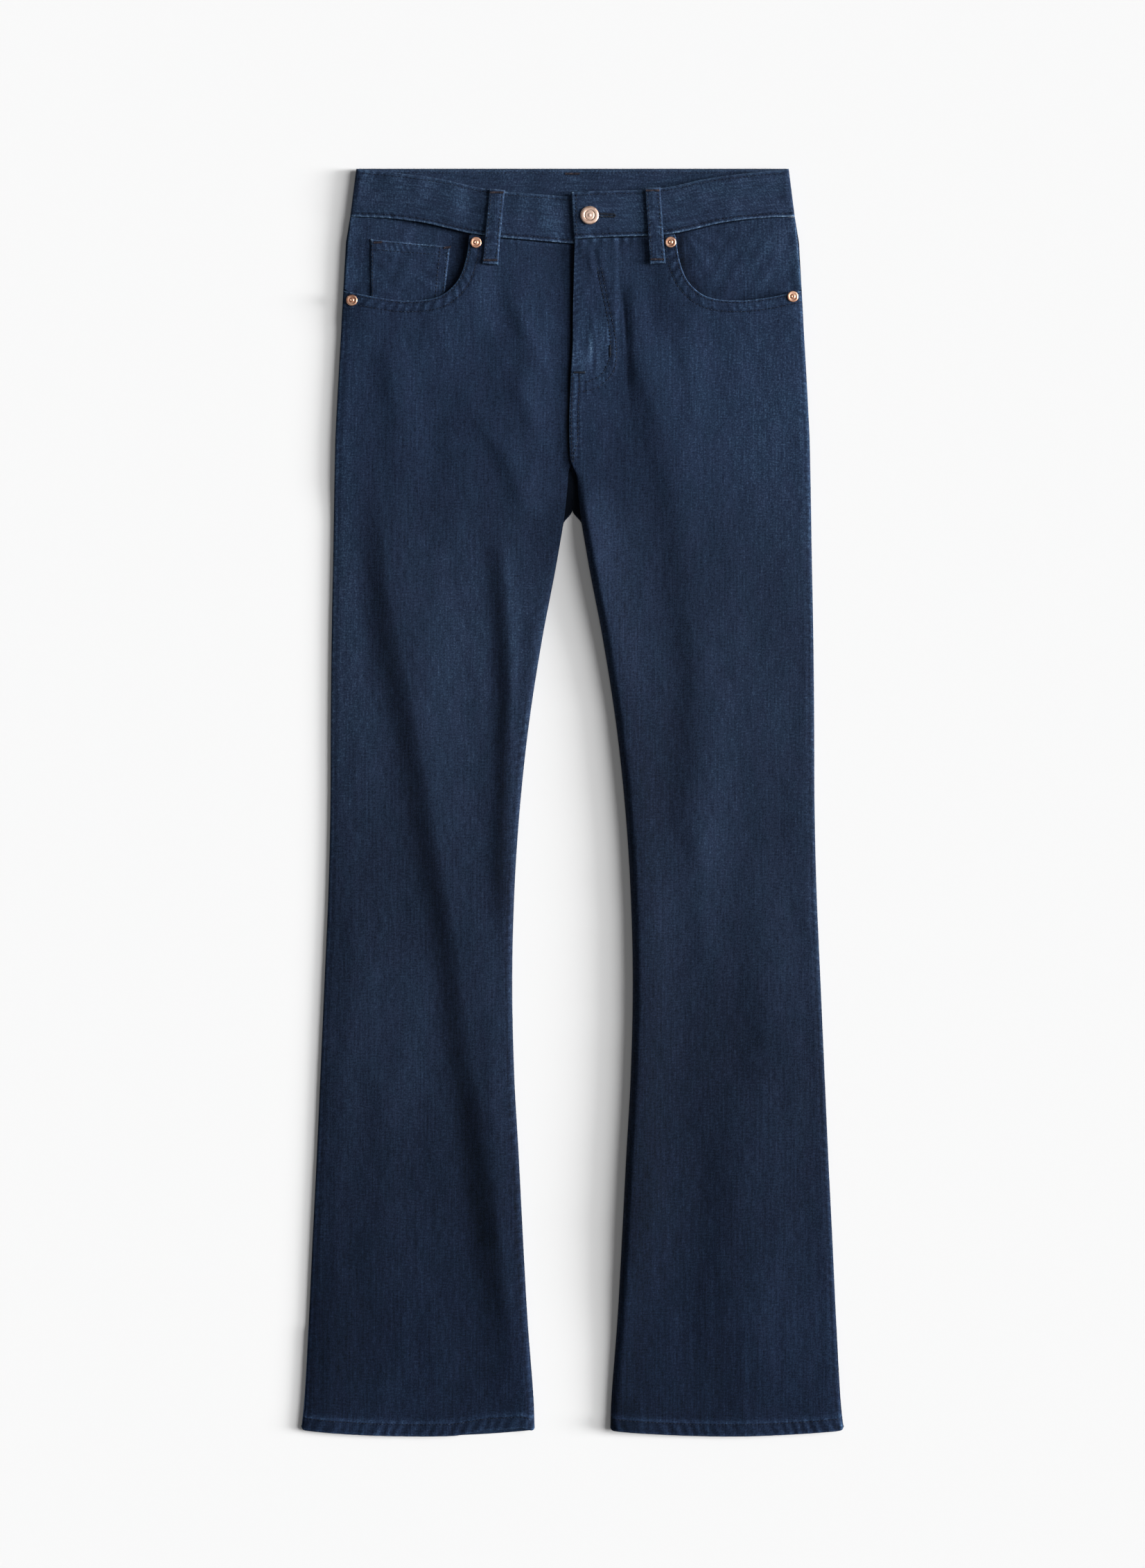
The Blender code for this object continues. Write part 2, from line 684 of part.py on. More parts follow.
def waistband(name):
    right = (-BAND_LAP, -BAND_LAP / 2, 0, *BAND_STATIONS)
    columns = [band_column(RIGHT, a, band_top(RIGHT, a)) for a in right]
    columns += band_turn(RIGHT)
    for across in BAND_BACK_STATIONS:
        side = RIGHT if across > 0 else LEFT
        columns.append(band_column(side, abs(across), BAND_UNDERSIDE, 1.0))
    columns += band_turn(LEFT)[::-1]
    columns += [band_column(LEFT, a, band_top(LEFT, a)) for a in BAND_STATIONS[::-1]]
    end = band_column(LEFT, 0, BAND_TAB_TOP)
    for share, corner in zip(BAND_SHARES, end):
        corner.x = -mix(TAB_EDGE_TOP, TAB_EDGE_BOTTOM, share)
    columns.append(end)
    grid = [[column[k] for column in columns] for k in range(len(BAND_SHARES))]
    wall(name, grid, BAND_THICK, cloth(name), UNDER)


# Pockets.


def pocket_facing(name, side):
    side_edge = FACING_BOTTOM[-1].across
    grid = []
    for row in range(FACING_ROWS + 1):
        line = []
        for share in FACING_SHARES:
            across = mix(FACING_INNER, side_edge, share)
            top = band_edges(side, across)[1] + GAP
            down = mix(top, read(FACING_BOTTOM, "across", "down", across), row / FACING_ROWS)
            across = mix(FACING_INNER, read(LEG, "down", "outer", down), share)
            line.append(point(side, across, down, facing_top(side, across, down)))
        grid.append(line)
    wall(name, grid, FACING_THICK, cloth(name))


def coin_pocket(name):
    grid = []
    for row in range(COIN_STEPS + 1):
        line = []
        for column in range(COIN_STEPS + 1):
            share, fall = column / COIN_STEPS, row / COIN_STEPS
            top = [mix(a, b, share) for a, b in zip(*COIN_TOP)]
            bottom = [mix(a, b, share) for a, b in zip(*COIN_BOTTOM)]
            across, down = (mix(a, b, fall) for a, b in zip(top, bottom))
            height = facing_top(RIGHT, across, down) + GAP + COIN_THICK
            line.append(point(RIGHT, across, down, height))
        grid.append(line)
    wall(name, grid, COIN_THICK, cloth(name))


def back_pocket(name, side):
    """A plain patch with a pointed lower edge, under the seat."""
    half_top, half_low = BACK_POCKET_TOP_WIDTH / 2, BACK_POCKET_LOW_WIDTH / 2
    corners = [
        (-half_top, 0),
        (half_top, 0),
        (half_low, BACK_POCKET_SIDE),
        (0, BACK_POCKET_POINT),
        (-half_low, BACK_POCKET_SIDE),
    ]
    turn, lean = math.cos(BACK_POCKET_TILT), math.sin(BACK_POCKET_TILT)
    built = bmesh.new()
    outline = []
    for out, fall in corners:
        across = BACK_POCKET_ACROSS + out * turn + fall * lean
        down = BACK_POCKET_DOWN + fall * turn - out * lean
        outline.append(built.verts.new(point(side, across, down, 0) * METRE))
    patch = built.faces.new(outline)
    raised = bmesh.ops.extrude_face_region(built, geom=[patch])
    verts = [part for part in raised["geom"] if isinstance(part, bmesh.types.BMVert)]
    bmesh.ops.translate(built, vec=Vector((0, 0, UNDERLAY * METRE)), verts=verts)
    add_object(name, built, cloth(name, DENIM_DARK))


# Belt loops and metal.


def front_loop(loop):
    """A belt loop over the waistband, its tucked ends thicker than its middle."""
    offsets = [LOOP_WIDTH * share for share in LOOP_COLUMNS]
    lean = (loop.across - loop.top_across) / (loop.down - loop.top_down)
    grid, raised = [], []
    for share in LOOP_SHARES:
        down = mix(loop.top_down, loop.down, share)
        middle = mix(loop.top_across, loop.across, share)
        near = (down - LOOP_FEEL, down, down + LOOP_FEEL)
        under = max(surface_top(loop.side, middle + o, d) for o in offsets for d in near)
        height = under + TRIM_CLEAR + LOOP_THICK + LOOP_BOW * math.sin(math.pi * share)
        grid.append([point(loop.side, middle + o, down - o * lean, height) for o in offsets])
        tucked = min(share, 1 - share) < LOOP_END
        raised.append([LOOP_END_RAISE if tucked else 0.0] * len(offsets))
    wall(loop.name, grid, LOOP_THICK, cloth(loop.name), UP, raised)


def back_loop(loop):
    """A belt loop under the waistband and yoke, lying on the surface."""
    grid = []
    for share in (0, 0.5, 1):
        down = mix(loop.top_down, loop.down, share)
        middle = mix(loop.top_across, loop.across, share)
        edges = (middle - LOOP_WIDTH / 2, middle + LOOP_WIDTH / 2)
        grid.append([point(loop.side, across, down, 0) for across in edges])
    wall(loop.name, grid, UNDERLAY, cloth(loop.name, DENIM_DARK), UNDER)


def button(name):
    height = band_top(LEFT, BUTTON_ACROSS) + TRIM_CLEAR
    place = point(LEFT, BUTTON_ACROSS, BUTTON_DOWN, height)
    finish = material(name, ROSE_GOLD, 0.3, 1.0)
    turned(name, BUTTON_RINGS, BUTTON_PEAK, BUTTON_TURNS, place, finish)


def pocket_rivet(rivet):
    height = front_top(rivet.side, rivet.across, rivet.down) + TRIM_CLEAR
    place = point(rivet.side, rivet.across, rivet.down, height)
    finish = material(rivet.name, COPPER, 0.32, 1.0)
    turned(rivet.name, RIVET_RINGS, RIVET_PEAK, RIVET_TURNS, place, finish)


def build():
    for leftover in list(bpy.data.objects):
        bpy.data.objects.remove(leftover)
    for side, word in ((RIGHT, "right"), (LEFT, "left")):
        front_panel(f"front_panel_{word}", side)
        back_panel(f"back_panel_{word}", side)
        back_yoke(f"back_yoke_{word}", side)
        pocket_facing(f"pocket_facing_{word}", side)
        back_pocket(f"back_pocket_{word}", side)
    waistband("waistband")
    coin_pocket("coin_pocket")
    for loop in FRONT_LOOPS:
        front_loop(loop)
    for loop in BACK_LOOPS:
        back_loop(loop)
    button("button")
    for rivet in RIVETS:
        pocket_rivet(rivet)


build()
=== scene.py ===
import math

import bpy
import numpy as np
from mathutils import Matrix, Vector


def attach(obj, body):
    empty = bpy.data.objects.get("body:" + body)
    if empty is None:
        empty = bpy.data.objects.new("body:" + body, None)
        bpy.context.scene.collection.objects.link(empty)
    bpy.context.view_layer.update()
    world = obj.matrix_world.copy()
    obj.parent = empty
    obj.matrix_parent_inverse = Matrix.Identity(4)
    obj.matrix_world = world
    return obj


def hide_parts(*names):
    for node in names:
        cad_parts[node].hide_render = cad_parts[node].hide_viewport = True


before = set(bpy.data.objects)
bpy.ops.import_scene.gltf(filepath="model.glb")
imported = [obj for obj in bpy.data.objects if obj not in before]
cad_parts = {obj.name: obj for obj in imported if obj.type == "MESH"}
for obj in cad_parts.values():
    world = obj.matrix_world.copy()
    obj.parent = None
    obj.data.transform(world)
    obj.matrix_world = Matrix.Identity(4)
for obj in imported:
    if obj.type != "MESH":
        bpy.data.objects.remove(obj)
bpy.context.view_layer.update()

# Bootcut jeans laid flat on their back, waist towards +Y. Lengths here are millimetres until a
# mesh is made. "x" runs to the viewer's right, "down" from the back waist edge to the hems, and
# "across" from the centre line to the side that a piece is on. Right and left are the wearer's.
metre = 0.001
laidLength = 1070.0
right, left = -1, 1
up, under = 1, -1
bothSides = ((right, "right"), (left, "left"))
farOff = 99  # millimetres, further from a row of stitches than its gathers reach


# Small maths, all on numpy arrays.

def ease(low, high, at):
    t = np.clip((np.asarray(at, float) - low) / (high - low), 0, 1)
    return t * t * (3 - 2 * t)


def mix(first, second, share):
    return first + (second - first) * share


def bell(distance, reach):
    return np.exp(-(distance / reach) ** 2)


def readTable(places, values, at):  # smooth through a table's rows, as the solids were read
    places, values = np.asarray(places, float), np.asarray(values, float)
    at = np.clip(at, places[0], places[-1])
    last = len(places) - 1
    i = np.clip(np.searchsorted(places, at, side="right") - 1, 0, last - 1)
    before = np.maximum(np.arange(last + 1) - 1, 0)
    after = np.minimum(np.arange(last + 1) + 1, last)
    slopes = (values[after] - values[before]) / (places[after] - places[before])
    step = places[i + 1] - places[i]
    t = (at - places[i]) / step
    start = (1 + 2 * t) * (1 - t) ** 2 * values[i] + t * (1 - t) ** 2 * step * slopes[i]
    end = t * t * (3 - 2 * t) * values[i + 1] + t * t * (t - 1) * step * slopes[i + 1]
    return start + end


def smoothPath(points, pieces=8):  # a curve through the points
    points = np.asarray(points, float)
    found = []
    for i in range(len(points) - 1):
        a, b = points[max(i - 1, 0)], points[i]
        c, d = points[i + 1], points[min(i + 2, len(points) - 1)]
        for t in np.arange(pieces) / pieces:
            bend = (2 * a - 5 * b + 4 * c - d) * t * t + (3 * b - a - 3 * c + d) * t ** 3
            found.append(0.5 * (2 * b + (c - a) * t + bend))
    return np.array(found + [points[-1]])


def pathReach(path):
    steps = np.hypot(*np.diff(path, axis=0).T)
    return np.concatenate([[0], np.cumsum(steps)])


def alongPath(path, lengths):
    reach = pathReach(path)
    return np.stack([np.interp(lengths, reach, path[:, k]) for k in range(path.shape[1])], -1)


def evenPath(path, step):  # the same path with points about a step apart
    total = pathReach(path)[-1]
    return alongPath(path, np.linspace(0, total, max(int(round(total / step)), 1) + 1))


def besidePath(path, offset):  # a parallel path, to the right of its direction if positive
    run = np.gradient(path, axis=0)
    run /= np.maximum(np.hypot(run[:, 0], run[:, 1]), 1e-9)[:, None]
    return path + np.stack([run[:, 1], -run[:, 0]], -1) * offset


def nearPath(path, x, down):  # distance from a path, how far along it, and on which side
    best = np.full(np.shape(x), 1e9)
    run, hand = np.zeros_like(best), np.zeros_like(best)
    travelled = 0.0
    for (x0, d0), (x1, d1) in zip(path, path[1:]):
        length = max(math.hypot(x1 - x0, d1 - d0), 1e-9)
        ux, ud = (x1 - x0) / length, (d1 - d0) / length
        t = np.clip((x - x0) * ux + (down - d0) * ud, 0, length)
        off = np.hypot(x - x0 - ux * t, down - d0 - ud * t)
        nearer = off < best
        best = np.where(nearer, off, best)
        run = np.where(nearer, travelled + t, run)
        hand = np.where(nearer, np.sign((x - x0) * ud - (down - d0) * ux), hand)
        travelled += length
    return best, run, hand, travelled


def waves(x, y, size, seed, count=12):  # soft irregular rises and dips, about -1 to 1
    draw = np.random.default_rng(seed)
    total = np.zeros(np.broadcast(x, y).shape)
    for turn, stretch, shift in draw.uniform(0, 1, (count, 3)):
        pull = 2 * math.pi / (size * mix(0.65, 1.7, stretch))
        angle = turn * 2 * math.pi
        total += np.sin((x * math.cos(angle) + y * math.sin(angle)) * pull + shift * 6.283)
    return total / math.sqrt(count)


def pucker(distance, run, pitch, reach, slant=0.0, seed=1):  # gathers beside a row of stitches
    phase = (run + slant * distance) / pitch + 0.3 * waves(run, 0, pitch * 5, seed)
    strength = np.clip(0.75 + 0.45 * waves(run, 0, pitch * 7, seed + 50), 0.1, 1.3)
    return np.sin(2 * math.pi * phase) * strength * bell(distance, reach)


photoScale, photoCentre, photoTop = 0.585, 826.0, 243.0  # the photograph's pixels in millimetres


def placed(points):  # photograph pixels to x and down
    points = np.asarray(points, float)
    return (points - (photoCentre, photoTop)) * photoScale


def rounded(distance, width):  # a quarter round: 0 at the edge, 1 a width inside it
    share = 1 - np.clip(distance / width, 0, 1)
    return np.sqrt(np.clip(1 - share * share, 0, 1))


# Nodes and materials.

def addNode(tree, kind, links=None, **settings):
    node = tree.nodes.new(kind)
    for name, value in settings.items():
        setattr(node, name, value)
    for socket, value in (links or {}).items():
        if isinstance(value, bpy.types.NodeSocket):
            tree.links.new(value, node.inputs[socket])
        else:
            node.inputs[socket].default_value = value
    return node


def hexColour(code):  # an sRGB hex value as linear colour
    parts = [int(code[k:k + 2], 16) / 255 for k in (1, 3, 5)]
    return [c / 12.92 if c <= 0.04045 else ((c + 0.055) / 1.055) ** 2.4 for c in parts] + [1]


def startMaterial(name, roughness, metallic=0.0, specular=0.5):
    made = bpy.data.materials.new(name)
    made.use_nodes = True
    shader = made.node_tree.nodes["Principled BSDF"]
    shader.inputs["Roughness"].default_value = roughness
    shader.inputs["Metallic"].default_value = metallic
    shader.inputs["Specular IOR Level"].default_value = specular
    return made, made.node_tree, shader


def rampNode(tree, factor, stops):
    node = addNode(tree, "ShaderNodeValToRGB", {0: factor})
    band = node.color_ramp
    while len(band.elements) < len(stops):
        band.elements.new(0.5)
    for element, (place, code) in zip(band.elements, stops):
        element.position = place
        element.color = hexColour(code)
    return node.outputs["Color"]


denimLook = {
    "grain": 1.5,  # mm, the mottling of single yarns; they are 0.6 mm apart and can't show
    "slubWide": 1.6, "slubLong": 14.0,  # mm, thick places in the warp yarns
    "weftWide": 5.0, "weftLong": 1.3,
    "twillPitch": 1.7, "twillTurn": 0.48,  # mm, radians; the real diagonal, 0.9 mm, can't show
    "streakWide": 1.5, "streakLong": 95.0,  # mm, warp yarns that took the dye unevenly
    "mottle": 34.0,  # mm, uneven dye and wash
    "grainShare": 0.43, "slubShare": 0.29, "weftShare": 0.23, "twillShare": 0.015,
    "streakShare": 0.16, "mottleShare": 0.055, "wearAndShadeShare": 0.62, "level": -0.222,
    "violet": (1.02, 0.992, 1.0), "teal": (0.95, 1.012, 0.99),  # the dye's drift over the cloth
    # fresh and washed-out dye, and how fresh it is down the garment in millimetres
    "fresh": (0.9, 1.0, 1.06), "faded": (1.02, 1.002, 0.965),
    "freshDown": [0, 120, 250, 302, 400, 735, 852, 970, 1070],
    "freshShare": [0.3, 0.68, 0.55, 0.3, 0.08, 0.08, 0.35, 0.75, 1.0],
    "stops": [(0.0, "#080e18"), (0.22, "#151e30"), (0.45, "#243148"), (0.7, "#405470"),
              (1.0, "#8aa3c0")],
    "roughness": 0.86, "specular": 0.08, "sheen": 0.03,
    "bumpDepth": 0.0002, "bumpStrength": 0.3,
}


def denimTwill(name, look):
    # Indigo 3/1 cotton twill, rinsed: the warp is dyed only outside its yarns, so it shows pale
    # flecks and slubs, and rubs lighter along folded edges. The cloth's attribute says how much it
    # is rubbed, and it also carries painted shade: darker on the flanks of folds, in creases and in
    # recesses.
    made, tree, shader = startMaterial(name, look["roughness"], 0.0, look["specular"])
    shader.inputs["Sheen Weight"].default_value = look["sheen"]
    shader.inputs["Sheen Roughness"].default_value = 0.45
    shader.inputs["Sheen Tint"].default_value = hexColour("#8fa6c8")
    cloth = addNode(tree, "ShaderNodeUVMap", uv_map="cloth").outputs[0]
    wearAndPaintedShade = addNode(tree, "ShaderNodeAttribute", attribute_name="wearAndPaintedShade").outputs["Fac"]

    def yarn(wide, long, detail):  # noise with cells of this many millimetres
        spread = addNode(tree, "ShaderNodeMapping", {
            "Vector": cloth, "Scale": (1000 / wide, 1000 / long, 1),
        })
        return addNode(tree, "ShaderNodeTexNoise", {
            "Vector": spread.outputs[0], "Scale": 1.0, "Detail": detail, "Roughness": 0.6,
        }, noise_dimensions="2D").outputs[0]

    grain = yarn(look["grain"], look["grain"] * 0.95, 2.5)
    slub = yarn(look["slubWide"], look["slubLong"], 2.5)
    weft = yarn(look["weftWide"], look["weftLong"], 1.0)
    streak = yarn(look["streakWide"], look["streakLong"], 2.0)
    mottle = yarn(look["mottle"], look["mottle"] * 1.4, 3.0)
    pull = 2 * math.pi * 1000 / look["twillPitch"]
    turned = addNode(tree, "ShaderNodeVectorMath", {
        0: cloth,
        1: (pull * math.cos(look["twillTurn"]), -pull * math.sin(look["twillTurn"]), 0),
    }, operation="DOT_PRODUCT").outputs["Value"]
    broken = addNode(tree, "ShaderNodeMath", {0: slub, 1: 9.0, 2: turned}, operation="MULTIPLY_ADD")
    twill = addNode(tree, "ShaderNodeMath", {0: broken.outputs[0]}, operation="SINE").outputs[0]

    total = addNode(tree, "ShaderNodeMath", {0: grain, 1: look["grainShare"], 2: look["level"]},
                    operation="MULTIPLY_ADD").outputs[0]
    for part, share in ((slub, "slubShare"), (weft, "weftShare"), (streak, "streakShare"),
                        (mottle, "mottleShare"), (twill, "twillShare")):
        total = addNode(tree, "ShaderNodeMath", {0: part, 1: look[share], 2: total},
                        operation="MULTIPLY_ADD").outputs[0]
    fleck = addNode(tree, "ShaderNodeMapRange", {
        "Value": grain, "From Min": 0.3, "From Max": 0.7, "To Min": 0.82, "To Max": 1.18,
    }).outputs[0]
    wearAndShade = addNode(tree, "ShaderNodeMath", {0: wearAndPaintedShade, 1: fleck}, operation="MULTIPLY").outputs[0]
    total = addNode(tree, "ShaderNodeMath", {0: wearAndShade, 1: look["wearAndShadeShare"], 2: total},
                    operation="MULTIPLY_ADD").outputs[0]
    drift = yarn(look["mottle"] * 0.6, look["mottle"] * 1.1, 2.0)
    drift = addNode(tree, "ShaderNodeMapRange", {
        "Value": drift, "From Min": 0.36, "From Max": 0.64, "To Min": 0.0, "To Max": 1.0,
    }).outputs[0]
    tint = addNode(tree, "ShaderNodeMix", {
        0: drift, 6: (*look["teal"], 1), 7: (*look["violet"], 1),
    }, data_type="RGBA").outputs[2]
    fresh = addNode(tree, "ShaderNodeAttribute", attribute_name="fresh").outputs["Fac"]
    washedOut = addNode(tree, "ShaderNodeMix", {
        0: fresh, 6: (*look["faded"], 1), 7: (*look["fresh"], 1),
    }, data_type="RGBA").outputs[2]
    dyed = addNode(tree, "ShaderNodeMix", {
        0: 1.0, 6: rampNode(tree, total, look["stops"]), 7: tint,
    }, data_type="RGBA", blend_type="MULTIPLY").outputs[2]
    dyed = addNode(tree, "ShaderNodeMix", {0: 1.0, 6: dyed, 7: washedOut}, data_type="RGBA",
                   blend_type="MULTIPLY").outputs[2]
    tree.links.new(dyed, shader.inputs["Base Color"])

    ribs = addNode(tree, "ShaderNodeMath", {0: twill, 1: 0.12, 2: grain}, operation="MULTIPLY_ADD")
    ribs = addNode(tree, "ShaderNodeMath", {0: slub, 1: 0.5, 2: ribs.outputs[0]},
                   operation="MULTIPLY_ADD")
    bump = addNode(tree, "ShaderNodeBump", {
        "Strength": look["bumpStrength"], "Distance": look["bumpDepth"],
        "Height": ribs.outputs[0],
    })
    tree.links.new(bump.outputs[0], shader.inputs["Normal"])
    dull = addNode(tree, "ShaderNodeMapRange", {
        "Value": grain, "From Min": 0.3, "From Max": 0.7, "To Min": 0.96, "To Max": 0.78,
    }).outputs[0]
    tree.links.new(dull, shader.inputs["Roughness"])
    return made


def spunThread(name, stops, specular):
    # Corespun polyester thread: finely twisted, with a soft gleam along each stitch.
    made, tree, shader = startMaterial(name, 0.6, 0.0, specular)
    spot = addNode(tree, "ShaderNodeTexCoord").outputs["Object"]
    fleck = addNode(tree, "ShaderNodeTexNoise", {"Vector": spot, "Scale": 420.0, "Detail": 2.0})
    tree.links.new(rampNode(tree, fleck.outputs[0], stops), shader.inputs["Base Color"])
    ply = addNode(tree, "ShaderNodeTexNoise", {"Vector": spot, "Scale": 2600.0, "Detail": 1.0})
    bump = addNode(tree, "ShaderNodeBump", {
        "Strength": 0.4, "Distance": 0.0001, "Height": ply.outputs[0],
    })
    tree.links.new(bump.outputs[0], shader.inputs["Normal"])
    return made


def platedMetal(name, low, high, roughness):
    # Stamped brass with a thin bright plating, tumbled: its colour is even and its polish isn't.
    made, tree, shader = startMaterial(name, roughness, 1.0)
    spot = addNode(tree, "ShaderNodeTexCoord").outputs["Object"]
    cloud = addNode(tree, "ShaderNodeTexNoise", {"Vector": spot, "Scale": 260.0, "Detail": 3.0})
    tree.links.new(rampNode(tree, cloud.outputs[0], [(0.35, low), (0.65, high)]),
                   shader.inputs["Base Color"])
    polish = addNode(tree, "ShaderNodeMapRange", {
        "Value": cloud.outputs[0], "From Min": 0.3, "From Max": 0.7,
        "To Min": roughness - 0.08, "To Max": roughness + 0.1,
    })
    tree.links.new(polish.outputs[0], shader.inputs["Roughness"])
    scuff = addNode(tree, "ShaderNodeTexNoise", {"Vector": spot, "Scale": 1500.0, "Detail": 2.0})
    bump = addNode(tree, "ShaderNodeBump", {
        "Strength": 0.15, "Distance": 0.00005, "Height": scuff.outputs[0],
    })
    tree.links.new(bump.outputs[0], shader.inputs["Normal"])
    return made


threadStops = {
    "navy": [(0.35, "#10151f"), (0.6, "#1a2333"), (0.78, "#475970")],
    "brown": [(0.35, "#1f1c24"), (0.6, "#372f36"), (0.78, "#5d5250")],
}
denim = denimTwill("indigo_denim_twill", denimLook)
navyThread = spunThread("navy_thread", threadStops["navy"], 0.2)
brownThread = spunThread("brown_thread", threadStops["brown"], 0.15)
roseGold = platedMetal("rose_gold_plating", "#f3cbb4", "#fbdfce", 0.48)
copper = platedMetal("copper_plating", "#dfa284", "#f7c9ad", 0.42)
print("materials made")


# The garment's outline and layers in millimetres, as in the solids.

outline = {
    "down": [0, 41, 70, 115, 220, 262, 292, 318, 344, 396, 466, 536, 607, 686, 765, 835, 905,
             975, 1040, 1065],
    "outer": [182.5, 187.6, 190.6, 193.9, 199.8, 200.9, 201.5, 201.9, 202.4, 203.4, 204.1, 204.4,
              206.0, 209.4, 212.9, 216.0, 219.5, 222.7, 226.2, 228.7],
    "inner": [3.0, 3.0, 3.0, 3.0, 3.0, 3.8, 6.6, 10.8, 15.4, 25.4, 36.4, 44.1, 48.9, 50.9, 49.2,
              45.3, 41.7, 37.8, 32.9, 32.0],
}
layers = {
    "denim": 1.4, "gap": 0.3, "facing": 1.2, "coin": 1.0, "loop": 1.6,
    "seatLift": 1.6, "seatLiftFade": (255, 300), "body": 5.3, "backRoll": 2.2,
}


def outerEdge(down):
    return readTable(outline["down"], outline["outer"], down)


def innerEdge(down):
    return readTable(outline["down"], outline["inner"], down)


def lift(down):
    return layers["seatLift"] * (1 - ease(*layers["seatLiftFade"], down))


waist = {
    "across": [0, 38.6, 62, 86, 106, 126.4, 156, 187.6],
    "top": [24.2, 21.6, 19.6, 15.8, 11.1, 7.6, 3.9, 0.8],
    "bottom": [63.9, 60.8, 58.8, 55.6, 51.0, 46.4, 42.6, 41.0],
    "backBottom": 40.6, "side": 187.6, "topShare": 182.5 / 187.6,
    "underside": 1.6, "front": 9.3, "underEnd": 7.4, "tab": 10.3,
    "underRise": (5, 45), "tabFall": (30, 76), "lap": 24.0,
    "tabEdge": (1.2, -1.2), "tabLift": 3.6, "tabLiftReach": (0, 100),
    "sideFall": (2.4, 128, 184), "curl": 1.5, "curlDrop": 1.1, "pillow": 0.5, "rows": 33,
    "width": 40, "thick": 2.1, "stitchInset": 3.0, "pitch": 6.5,
}


def bandEdges(side, across):
    across = np.maximum(across, 0)
    raised = waist["tabLift"] * (1 - ease(*waist["tabLiftReach"], across)) if side == left else 0
    top = readTable(waist["across"], waist["top"], across) - raised
    return top, readTable(waist["across"], waist["bottom"], across) - raised


def bandTop(side, across):
    drop, start, end = waist["sideFall"]
    plain = waist["front"] - drop * ease(start, end, across)
    if side == right:
        return mix(waist["underEnd"], plain, ease(*waist["underRise"], across))
    return mix(waist["tab"], plain, ease(*waist["tabFall"], across))


mouth = {
    "points": [(193.0, 103.5), (165, 109.3), (140, 112.0), (114, 109.0), (98, 96.5), (90.2, 78.0),
               (87, 56.8)],
    "stitchInsets": (1.9, 9.5), "pitch": 7.5,
    "rise": 2.5, "riseFade": (118, 150), "riseStart": (60, 84),
}
fly = {
    "down": [60, 113, 145, 175, 215, 243],
    "across": [1.7, -0.3, 0.0, -1.6, -3.0, -2.4],
    "lap": 8.0, "under": 3.6, "over": 5.3, "reach": (12, 44),
    "part": (243, 262), "lapPart": (234, 257), "crotchRoll": (250, 275),
    "width": 37.5, "curve": 165.0, "bottom": 188.0, "raise": 0.9, "soft": 1.8,
    "rows": (1.9, 7.6), "rowsStart": (166, 176),
    "tabRise": 1.7, "tabRiseFade": (66, 112), "tabRiseReach": (28, 62),
}
jStitch = {  # photograph pixels down the outer and inner row of the fly's curved stitching
    "outer": [(868, 389), (875, 425), (883, 462), (888.5, 491), (889, 521), (884.5, 537),
              (876.5, 548), (861, 560), (842, 565)],
    "inner": [(862, 389), (868, 418), (874, 445), (880, 480), (881, 505), (878, 522), (869, 539.5),
              (857, 547.5), (846, 552)],
}


jPaths = {row: smoothPath(placed(jStitch[row]), 6) for row in ("outer", "inner")}


def flyEdge(down):
    return readTable(fly["down"], fly["across"], down)


def frontInner(side, down):
    if side == left:
        return mix(flyEdge(down), innerEdge(down), ease(*fly["part"], down))
    return mix(-fly["lap"], innerEdge(down), ease(*fly["lapPart"], down))
